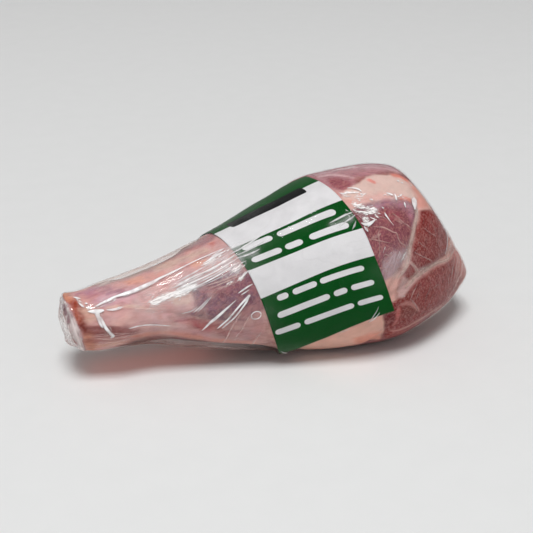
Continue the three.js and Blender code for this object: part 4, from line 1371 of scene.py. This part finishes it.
def ribbing_paths(half, count, first, last, random):
    """Long fine folds that fill the band between two edges."""
    first, last = np.asarray(first, float), np.asarray(last, float)
    paths = []
    for share in (np.arange(count) + random.uniform(*RIB_JITTER, count)) / count:
        line = first + (last - first) * share
        line = line + random.normal(0, RIB_WANDER, line.shape)
        start, stop = sorted(random.uniform(0, len(line) - 1, 2))
        if stop - start < RIB_LEAST:
            start, stop = 0, len(line) - 1
        t = np.linspace(start, stop, len(RIB_TAPER))
        width = half * random.uniform(*RIB_WIDTHS) * RIB_TAPER
        paths.append(np.stack([*course(line, t), width], -1))
    return paths


def bubble_path():
    """The rim of a small round bubble under the film."""
    x, clock, radius = BUBBLE
    turn = BUBBLE_TURNS
    around = BUBBLE_FLATTER * radius / (float(half_width(x)) * UNROLL)
    half = np.where((turn > BUBBLE_WHOLE[0]) & (turn < BUBBLE_WHOLE[1]), BUBBLE_HALF, TIP)
    return np.stack([x + radius * np.cos(turn), clock + around * np.sin(turn), half], -1)


def end_folds(random):
    """Wandering folds of film that cross the sawn end from top to foot."""
    folds = list(END_FOLDS)
    across_most, up_most = END_FOLD_REACH
    count = len(END_FOLD_TAPER)
    for across in np.linspace(-across_most, across_most, END_FOLD_COUNT):
        up = math.sqrt(SAWN_HALF**2 - across**2) * np.linspace(up_most, -up_most, count)
        wander = across + random.normal(0, END_FOLD_WANDER, count)
        half = random.uniform(*END_FOLD_WIDTHS) * END_FOLD_TAPER
        folds.append((random.uniform(*END_FOLD_MILK), np.stack([wander, up, half], -1)))
    return folds


def on_film(x, clock):
    return film_point(x, clock, CREASES_PROUD), outward(x, clock)


def over_meat(x, clock):
    normal = outward(x, clock)
    return meat_point(x, clock) + SINEWS_PROUD * normal, normal


def over_sawn_end(across, up):
    """Places on the film over the sawn end and their normals, from offsets from its middle."""
    share, clock = np.hypot(across, up) / SAWN_HALF, np.degrees(np.arctan2(-across, up))
    p = smooth_point(FIRST_X, clock, share)
    p[..., 0] -= end_dome(share, clock) + END_FOLDS_PROUD
    lean = 2 * FILM_DOME / SAWN_HALF**2
    return p, unit(np.stack([np.full_like(across, -1.0), lean * across, lean * up - SAW_SLANT], -1))


# ------------------------------------------------------------------ label's print

LABEL_GRID = (150, 90)  # rows down, columns along
BAR_ROWS = [  # plain bars where the words are: down at along 0 and at 1, height, each bar's ends
    (0.360, 0.377, 0.036, [(0.070, 0.330), (0.375, 0.885)]),
    (0.452, 0.462, 0.036, [(0.075, 0.330), (0.362, 0.510), (0.570, 0.910)]),
    (0.694, 0.717, 0.029, [(0.120, 0.215), (0.253, 0.457), (0.485, 0.870)]),
    (0.768, 0.804, 0.029, [(0.078, 0.515), (0.550, 0.665), (0.700, 0.905)]),
    (0.845, 0.898, 0.029, [(0.020, 0.225), (0.258, 0.672), (0.705, 0.935)]),
]
BLACK_BAR = (0.150, 0.184, 0.064, (0.150, 0.840))
BLACK_ROUNDING = 0.25  # of its ends, where 1 is a half circle
BAR_THICKNESS, BAR_SUNK = 0.06, 0.02
BAR_GRID_ROWS, BAR_COLUMNS, BAR_COLUMNS_ALONG = 6, 30, 200
BAR_END_LEAST = 0.02  # keeps the ends of a bar from closing to a point
GREEN, WHITE, BLACK = linear(6, 74, 24), linear(222, 222, 224), linear(30, 32, 32)
BAND_BORDERS, WHITE_BANDS = np.array([1, 2, 3, 4]) / 6, (1, 3)


def slab(point, rows, columns):
    """A closed thin sheet: point(along, down, above) for both faces of a grid of 0 to 1."""
    down, along = np.meshgrid(np.linspace(0, 1, rows), np.linspace(0, 1, columns), indexing="ij")
    n = rows * columns
    points = np.concatenate([point(along, down, above).reshape(-1, 3) for above in (0.0, 1.0)])
    top = grid_faces(rows, columns, closed=False)[:, ::-1]
    border = np.concatenate([
        np.arange(columns), np.arange(1, rows) * columns + columns - 1,
        (rows - 1) * columns + np.arange(columns - 2, -1, -1), np.arange(rows - 2, 0, -1) * columns,
    ])
    following = np.roll(border, -1)
    sides = np.stack([border, following, following + n, border + n], -1)
    return points, [top[:, ::-1], top + n, sides[:, ::-1]], np.tile(down.ravel(), 2)


def rounded_bar(down_near, down_far, height, ends, rounding=1.0):
    """A bar with round ends, as a slab on the label."""
    start, stop = ends

    def place(along, down, above):
        u = start + (stop - start) * along
        centre = down_near + (down_far - down_near) * u
        end = np.minimum(along, 1 - along) * (stop - start) / (height * rounding)
        half = 0.5 * height * np.sqrt(np.clip(1 - (1 - np.clip(end, 0, 1)) ** 2, BAR_END_LEAST, 1))
        rise = LABEL_THICKNESS - BAR_SUNK + BAR_THICKNESS * above
        return label_point(u, centre + (2 * down - 1) * half, rise)

    return slab(place, BAR_GRID_ROWS, BAR_COLUMNS + int(BAR_COLUMNS_ALONG * (stop - start)))


# ------------------------------------------------------------------ materials

THREADS_TURNED = 1.2  # radians from the fibres to the threads that cross them


def meat_material():
    n = Nodes("meat_seen_through_film")
    place = n.place()
    weave = n.attribute("weave", "Vector")
    tone, fat = n.attribute("tone", "Color"), n.attribute("fat")
    turned = {"Vector": weave, "Angle": THREADS_TURNED}
    crossed = n.add("ShaderNodeVectorRotate", turned, rotation_type="Z_AXIS").outputs[0]
    lean = n.math("SUBTRACT", 1.0, fat)
    fibres = n.noise(n.stretched(weave, (0.16, 0.62, 0.7)), 1.0, 3, 0.6)
    threads = n.noise(n.stretched(crossed, (0.07, 0.55, 0.7)), 1.0, 2, 0.5, 0.5)
    frost = n.noise(place, 560, 3, 0.7)
    cloud = n.noise(place, 95, 4, 0.6)
    flush = n.noise(place, 150, 5, 0.75)
    streak = n.plus(1.0, n.times(n.spread(fibres, 0.3, 0.7, -0.14, 0.14), n.plus(lean, 0.12)))
    shade = n.times(n.spread(cloud, 0.3, 0.7, 0.92, 1.08), streak)
    paint = n.mix(1.0, tone, n.grey(shade), "MULTIPLY")
    for pattern, low, high, where, share, tint in (
        (fibres, 0.48, 0.34, lean, 0.42, (84, 28, 30)),
        (threads, 0.55, 0.63, lean, 0.30, (180, 128, 124)),
        (frost, 0.51, 0.58, lean, 0.54, (178, 122, 116)),
        (flush, 0.52, 0.68, fat, 0.07, (190, 108, 100)),
    ):
        paint = n.mix(n.times(n.spread(pattern, low, high), n.times(where, share)), paint, shown(*tint))
    return n.principled(
        Base_Color=paint, Roughness=0.5, Specular_IOR_Level=0.02,
        Normal=n.bump(n.plus(fibres, n.times(cloud, 1.5)), 0.35, 0.0004),
        Subsurface_Weight=0.12, Subsurface_Radius=(1.0, 0.35, 0.25), Subsurface_Scale=0.004,
    )


def film_body(n):
    """Clear film with its haze and its torn glare, a painted highlight in flat white, which is crisp at a
    finer scale than the mesh.
    """
    stretch = n.attribute("stretch", "Vector")
    coarse = n.noise(n.stretched(stretch, (0.10, 0.48, 0.3)), 1.0, 3, 0.6, 0.6)
    fine = n.noise(n.stretched(stretch, (0.42, 1.7, 0.9)), 1.0, 3, 0.65)
    torn = n.plus(n.times(coarse, 0.6), n.times(fine, 0.4))
    level = n.plus(n.spread(torn, 0.34, 0.66), n.attribute("painted_glare"))
    # painted highlight: the torn glare is a white diffuse coat, not a reflection
    painted_glint = n.times(n.spread(level, 0.98, 1.26), 0.95)
    clear, milk = n.clear((0.98, 0.98, 0.98, 1)), n.diffuse(n.attribute("milk", "Color"))
    return n.over(painted_glint, n.over(n.attribute("haze"), clear, milk), n.diffuse((0.96, 0.95, 0.94, 1)))


def film_material(name, roughness=0.05):
    n = Nodes(name)
    place = n.place()
    long_crinkle = n.noise(n.stretched(place, (0.25, 1.0, 1.0)), 260, 3, 0.5)
    crinkle = n.noise(place, 150, 3, 0.5)
    bump = n.bump(n.plus(crinkle, n.times(long_crinkle, 0.6)), 0.5, 0.0006)
    facing = n.add("ShaderNodeLayerWeight", {"Blend": 0.5, "Normal": bump}).outputs["Facing"]
    fresnel = n.spread(n.math("POWER", facing, 5.0), 0.0, 1.0, 0.014, 0.6)
    shine = {"Color": (1, 1, 1, 1), "Roughness": roughness, "Normal": bump}
    gloss = n.add("ShaderNodeBsdfGlossy", shine).outputs[0]
    return n.finish(n.over(n.times(fresnel, n.attribute("gloss")), film_body(n), gloss))


def veil_material(name):
    """Thin pale tissue that thins out to nothing at its edges."""
    n = Nodes(name)
    shade = n.grey(n.spread(n.noise(n.place(), 500, 3, 0.6), 0.3, 0.7, 0.85, 1.1))
    tissue = n.diffuse(n.mix(1.0, n.attribute("milk", "Color"), shade, "MULTIPLY"))
    return n.finish(n.over(n.attribute("haze"), n.clear((1, 1, 1, 1)), tissue))


def bone_material():
    n = Nodes("sawn_bone")
    pores = n.noise(n.place(), 900, 3, 0.6)
    hard = n.mix(n.spread(pores, 0.35, 0.7), shown(196, 168, 156), shown(160, 124, 116))
    soft = n.mix(n.spread(pores, 0.3, 0.7), shown(112, 52, 52), shown(146, 84, 78))
    paint = n.mix(n.attribute("core"), hard, soft)
    return n.principled(Base_Color=paint, Roughness=0.55, Normal=n.bump(pores, 0.3, 0.0003))


def paper_material(name, tint):
    n = Nodes(name)
    place = n.place()
    fibre = n.noise(place, 1500, 3, 0.6)
    painted_wrinkle_shade = n.noise(place, 60, 2, 0.5)
    crinkle = n.noise(n.stretched(place, (0.6, 1.0, 1.0)), 70, 2, 0.5, 0.6)
    creased = n.noise(n.stretched(place, (0.5, 1.0, 1.0)), 46, 2, 0.5, 0.8)
    # painted shade: soft grey wrinkles and darker crease lines on the paper, over the fibres' tone
    shade = n.times(n.spread(fibre, 0.3, 0.7, 0.96, 1.03), n.spread(painted_wrinkle_shade, 0.3, 0.7, 0.93, 1.04))
    painted_crease_shade = n.math("ABSOLUTE", n.math("SUBTRACT", creased, 0.5))
    grey = n.grey(n.times(shade, n.spread(painted_crease_shade, 0.0, 0.05, 0.955, 1.0)))
    return n.principled(
        Base_Color=n.mix(1.0, socket_colour(tint), grey, "MULTIPLY"), Roughness=0.35,
        Specular_IOR_Level=0.05, Normal=n.bump(n.plus(n.times(fibre, 0.1), crinkle), 0.5, 0.0012),
    )


def floor_material():
    n = Nodes("studio_floor")
    shade = n.spread(n.noise(n.place(), 40, 2, 0.5), 0.3, 0.7, 0.795, 0.805)
    pale = n.mix(1.0, socket_colour(FLOOR_TINT), n.grey(shade), "MULTIPLY")
    return n.principled(Base_Color=pale, Roughness=0.9, Specular_IOR_Level=0.1)


# ------------------------------------------------------------------ pieces

BONE_SIDES, BONE_TALLER = 60, 1.12
BONE_LOBES = [(0.07, 2, 0.6), (0.05, 3, 0)]  # of its outline: share of the radius, count, turn
BONE_RINGS = [  # from the middle of the marrow out and down the side: radius, depth, marrow
    (1, 1, 1),
    (3, 0.9, 1),
    (4.6, 0.75, 1),
    (5.2, 0.2, 0.4),
    (5.8, 0, 0),
    (8.2, 0, 0),
    (8.8, 0.25, 0),
    (9.1, 1.0, 0),
    (BONE_RADIUS, 6.0, 0),
]


def with_alpha(tones):
    return np.concatenate([tones, np.ones((len(tones), 1))], axis=1)


def build_meat():
    points, faces, x, clock = closed_skin(meat_end, FIRST_X + FACE_ROUND + FACE_SET_BACK, meat_point)
    tones, fat, relief, weave = paint_meat(points, x, clock)
    raised = RELIEF_GAIN * (relief - RELIEF_LEVEL) * (x > FIRST_X)
    points = points + outward(x, clock) * raised[:, None]
    points[:, 2] = np.maximum(points[:, 2], RELIEF_FLOOR)
    return make_piece("leg_meat", points, faces, meat_material(), "meat", attributes={
        "tone": with_alpha(tones * MEAT_GAIN), "fat": fat, "weave": weave,
    })


def build_bone():
    """The sawn shank bone: a ring of hard bone round marrow, a little proud of the sawn meat."""
    turn = np.radians(np.arange(BONE_SIDES) * 360 / BONE_SIDES)
    outline = 1 + sum(share * np.cos(count * turn + start) for share, count, start in BONE_LOBES)
    rows = []
    for radius, depth, _ in BONE_RINGS:
        across = BONE_MIDDLE[0] - radius * outline * np.sin(turn)
        up = BONE_MIDDLE[1] + BONE_TALLER * radius * outline * np.cos(turn)
        along = depth - BONE_PROUD + FACE_SET_BACK - SAW_SLANT * up
        rows.append(SAWN_MIDDLE + np.stack([along, across, up], -1))
    points, faces = capped_grid(rows)
    marrow = np.append(np.repeat([ring[2] for ring in BONE_RINGS], BONE_SIDES), [1, 0])
    return make_piece("shank_bone", points, faces, bone_material(), "bone", attributes={"core": marrow})


def build_film():
    points, faces, x, clock = closed_skin(film_end, FIRST_X + RIM_ROUND, film_point)
    haze, tone, painted_glare, stretch = paint_film(points, x, clock)
    on_label = 1 - LABEL_DULLS * label_nearness(points)[0]
    underneath = 1 - UNDER_DULLS * bell(turn_between(clock, UNDER_CLOCK), UNDER_REACH)
    return make_piece("clear_film", points, faces, film_material("clear_film"), "film", attributes={
        "haze": haze, "painted_glare": painted_glare, "stretch": stretch, "milk": with_alpha(tone),
        "gloss": on_label * underneath,
    })


def soft_strips(name, strips, surface, height, tones, material, slot):
    """Strips with soft edges, uneven along their length, as one piece. tones has one for each strip."""
    bodies = surface_strips([path for _, path in strips], surface, height)
    points, faces = join_bodies(bodies)
    crest = np.concatenate([strength * body[2] for body, (strength, _) in zip(bodies, strips)])
    tone = np.concatenate([np.tile(tone, (len(body[0]), 1)) for body, tone in zip(bodies, tones)])
    middle, least, most = STRIP_LEVELS
    uneven = np.clip(middle + lumps(points, STRIP_UNEVEN), least, most)
    zeros = np.zeros(len(points))
    return make_piece(name, points, faces, material, slot, attributes={
        "haze": crest * uneven, "painted_glare": zeros, "stretch": points, "milk": with_alpha(tone),
        "gloss": zeros + 1,
    })


def build_end_folds():
    folds = end_folds(np.random.default_rng(END_FOLD_SEED))
    material = film_material("film_end_fold", END_FOLD_ROUGHNESS)
    tones = [END_MILK_PAINTED_LIGHTER] * len(folds)
    return soft_strips("film_end_folds", folds, over_sawn_end, END_FOLD_HEIGHT, tones, material, "film")


def build_creases():
    random = np.random.default_rng(CREASE_SEED)
    folds = with_tips(CREASES_AND_GLINTS)
    mirrored = [
        (FAR_CREASE_SHARE * milk, far_path(path)) for milk, path in folds
        if any(low < path[0][0] < high for low, high in FAR_CREASES)
    ]
    for milk, half, count, first, last in RIBBING_AND_GLINTS:
        folds += [(milk, path) for path in ribbing_paths(half, count, first, last, random)]
    folds += [(BUBBLE_MILK, bubble_path()), *mirrored]
    folds = [(milk, [(x, clock, CREASE_GAIN * half) for x, clock, half in path]) for milk, path in folds]
    # the creases' milky crests, flat white, paint highlights in part
    material = film_material("film_crease_and_glint", CREASE_ROUGHNESS)
    tones = [MILK if milk > FAINT else FAINT_MILK for milk, _ in folds]
    return soft_strips("film_creases_and_glints", folds, on_film, CREASE_HEIGHT, tones, material, "film")


def build_sinews():
    threads = with_tips(SINEWS)
    threads += [(strength, far_path(path)) for strength, path in threads]
    bands = with_tips(SEAM_BANDS)
    strips = bands + [(SINEW_GAIN * strength, path) for strength, path in threads]
    tones = [SEAM_TONE] * len(bands) + [SINEW_TONE] * len(threads)
    return soft_strips("sinews", strips, over_meat, SINEW_HEIGHT, tones, veil_material("tissue"), "meat")


def build_label():
    def place(along, down, above):
        return label_point(along, down, LABEL_THICKNESS * above)

    rows, columns = LABEL_GRID
    points, faces, down = slab(place, rows + 1, columns + 1)
    label = make_piece("label_paper", points, faces, paper_material("label_green", GREEN), "label")
    mesh = label.data
    mesh.materials.append(paper_material("label_white", WHITE))
    for polygon in mesh.polygons:
        centre = np.mean([down[v] for v in polygon.vertices])
        band = int(np.searchsorted(BAND_BORDERS, centre))
        polygon.material_index = int(band in WHITE_BANDS)
    return label


def build_bars():
    rows = [rounded_bar(*row[:3], ends) for row in BAR_ROWS for ends in row[3]]
    black = [rounded_bar(*BLACK_BAR, BLACK_ROUNDING)]
    return [
        make_piece(name, *join_bodies(bars), paper_material(material, tint), "label", smooth=False)
        for name, bars, material, tint in (
            ("label_bars", rows, "print_white", WHITE),
            ("label_black_bar", black, "print_black", BLACK),
        )
    ]


leg = [build_meat(), build_bone(), build_sinews(), build_film(), build_creases(), build_end_folds()]
label_and_print = [build_label(), *build_bars()]
for piece in leg:
    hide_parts("wrapped_leg")
for piece in label_and_print:
    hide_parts("label")


# ------------------------------------------------------------------ floor, light and camera

FLOOR_SIDE, FLOOR_TINT = 16.0, (0.975, 1.0, 1.0)
AIM = Vector((-9.2, 0.3, 71.2)) * MM
LIGHTS = [  # name, towards, distance from AIM, sides, power, rays that don't see it
    ("key", (-0.13, -0.355, 0.92), 5.0, (1.75, 1.75), 187.0, ["glossy"]),
    ("sparkle", (-0.33, -0.25, 0.91), 2.6, (0.35, 0.35), 15.0, ["diffuse"]),
    ("back_card", (0.15, 0.9, 0.45), 2.4, (3.0, 1.6), 10.0, ["diffuse", "camera"]),
]
BOUNCE_PLACE, BOUNCE_SIDES, BOUNCE_POWER = (-62, 0, 13), (0.19, 0.03), 0.0036
BOUNCE_TINT = (1.0, 0.2, 0.12)  # the meat's own red on the floor
WORLD_TOWARDS, WORLD_LOW, WORLD_HIGH = (-0.1, -0.85, 0.5), 0.06, 0.42
WORLD_TINT = (1.0, 0.94, 0.93, 1)
AZIMUTH, ELEVATION, CAMERA_DISTANCE = math.radians(-17), math.radians(25), 1.0
LENS, SENSOR, NEAR_CLIP, FAR_CLIP = 85, 36, 0.05, 50
TRANSPARENT_BOUNCES = 16


def build_floor():
    s = FLOOR_SIDE / 2
    mesh = bpy.data.meshes.new("floor")
    mesh.from_pydata([(-s, -s, 0), (s, -s, 0), (s, s, 0), (-s, s, 0)], [], [(0, 1, 2, 3)])
    mesh.materials.append(floor_material())
    floor = add_object("floor", mesh)


def area_light(name, place, towards, sides, power, hidden_from, tint=(1, 1, 1)):
    data = bpy.data.lights.new(name, "AREA")
    data.shape = "RECTANGLE"
    data.size, data.size_y = sides
    data.energy = power
    data.color = tint
    light = add_object(name, data)
    light.location = place
    light.rotation_euler = towards.to_track_quat("Z", "Y").to_euler()
    for rays in hidden_from:
        setattr(light, f"visible_{rays}", False)


def build_lights():
    for name, towards, distance, sides, power, hidden_from in LIGHTS:
        towards = Vector(towards).normalized()
        area_light(name, AIM + towards * distance, towards, sides, power, hidden_from)
    up, place = Vector((0, 0, 1)), Vector(BOUNCE_PLACE) * MM
    area_light("bounce", place, up, BOUNCE_SIDES, BOUNCE_POWER, ["glossy", "camera"], BOUNCE_TINT)


def build_world():
    """Pale surroundings, brighter towards the front and overhead."""
    world = bpy.data.worlds.new("studio")
    world.use_nodes = True
    tree = world.node_tree
    background = tree.nodes["Background"]
    background.inputs["Color"].default_value = WORLD_TINT
    place = tree.nodes.new("ShaderNodeTexCoord")
    facing = tree.nodes.new("ShaderNodeVectorMath")
    facing.operation = "DOT_PRODUCT"
    facing.inputs[1].default_value = Vector(WORLD_TOWARDS).normalized()
    ramp = tree.nodes.new("ShaderNodeMapRange")
    for key, value in (("From Min", -1), ("From Max", 1), ("To Min", WORLD_LOW), ("To Max", WORLD_HIGH)):
        ramp.inputs[key].default_value = value
    tree.links.new(place.outputs["Generated"], facing.inputs[0])
    tree.links.new(facing.outputs["Value"], ramp.inputs["Value"])
    tree.links.new(ramp.outputs[0], background.inputs["Strength"])
    bpy.context.scene.world = world


def build_camera():
    data = bpy.data.cameras.new("camera")
    data.lens, data.sensor_width = LENS, SENSOR
    data.clip_start, data.clip_end = NEAR_CLIP, FAR_CLIP
    camera = add_object("camera", data)
    back = Vector((
        math.sin(AZIMUTH) * math.cos(ELEVATION),
        -math.cos(AZIMUTH) * math.cos(ELEVATION),
        math.sin(ELEVATION),
    ))
    camera.location = AIM + back * CAMERA_DISTANCE
    camera.rotation_euler = back.to_track_quat("Z", "Y").to_euler()
    bpy.context.scene.camera = camera


build_floor()
build_lights()
build_world()
build_camera()

scene = bpy.context.scene
scene.view_settings.view_transform = "Standard"
scene.view_settings.look = "None"
scene.cycles.use_denoising = True
scene.cycles.transparent_max_bounces = TRANSPARENT_BOUNCES
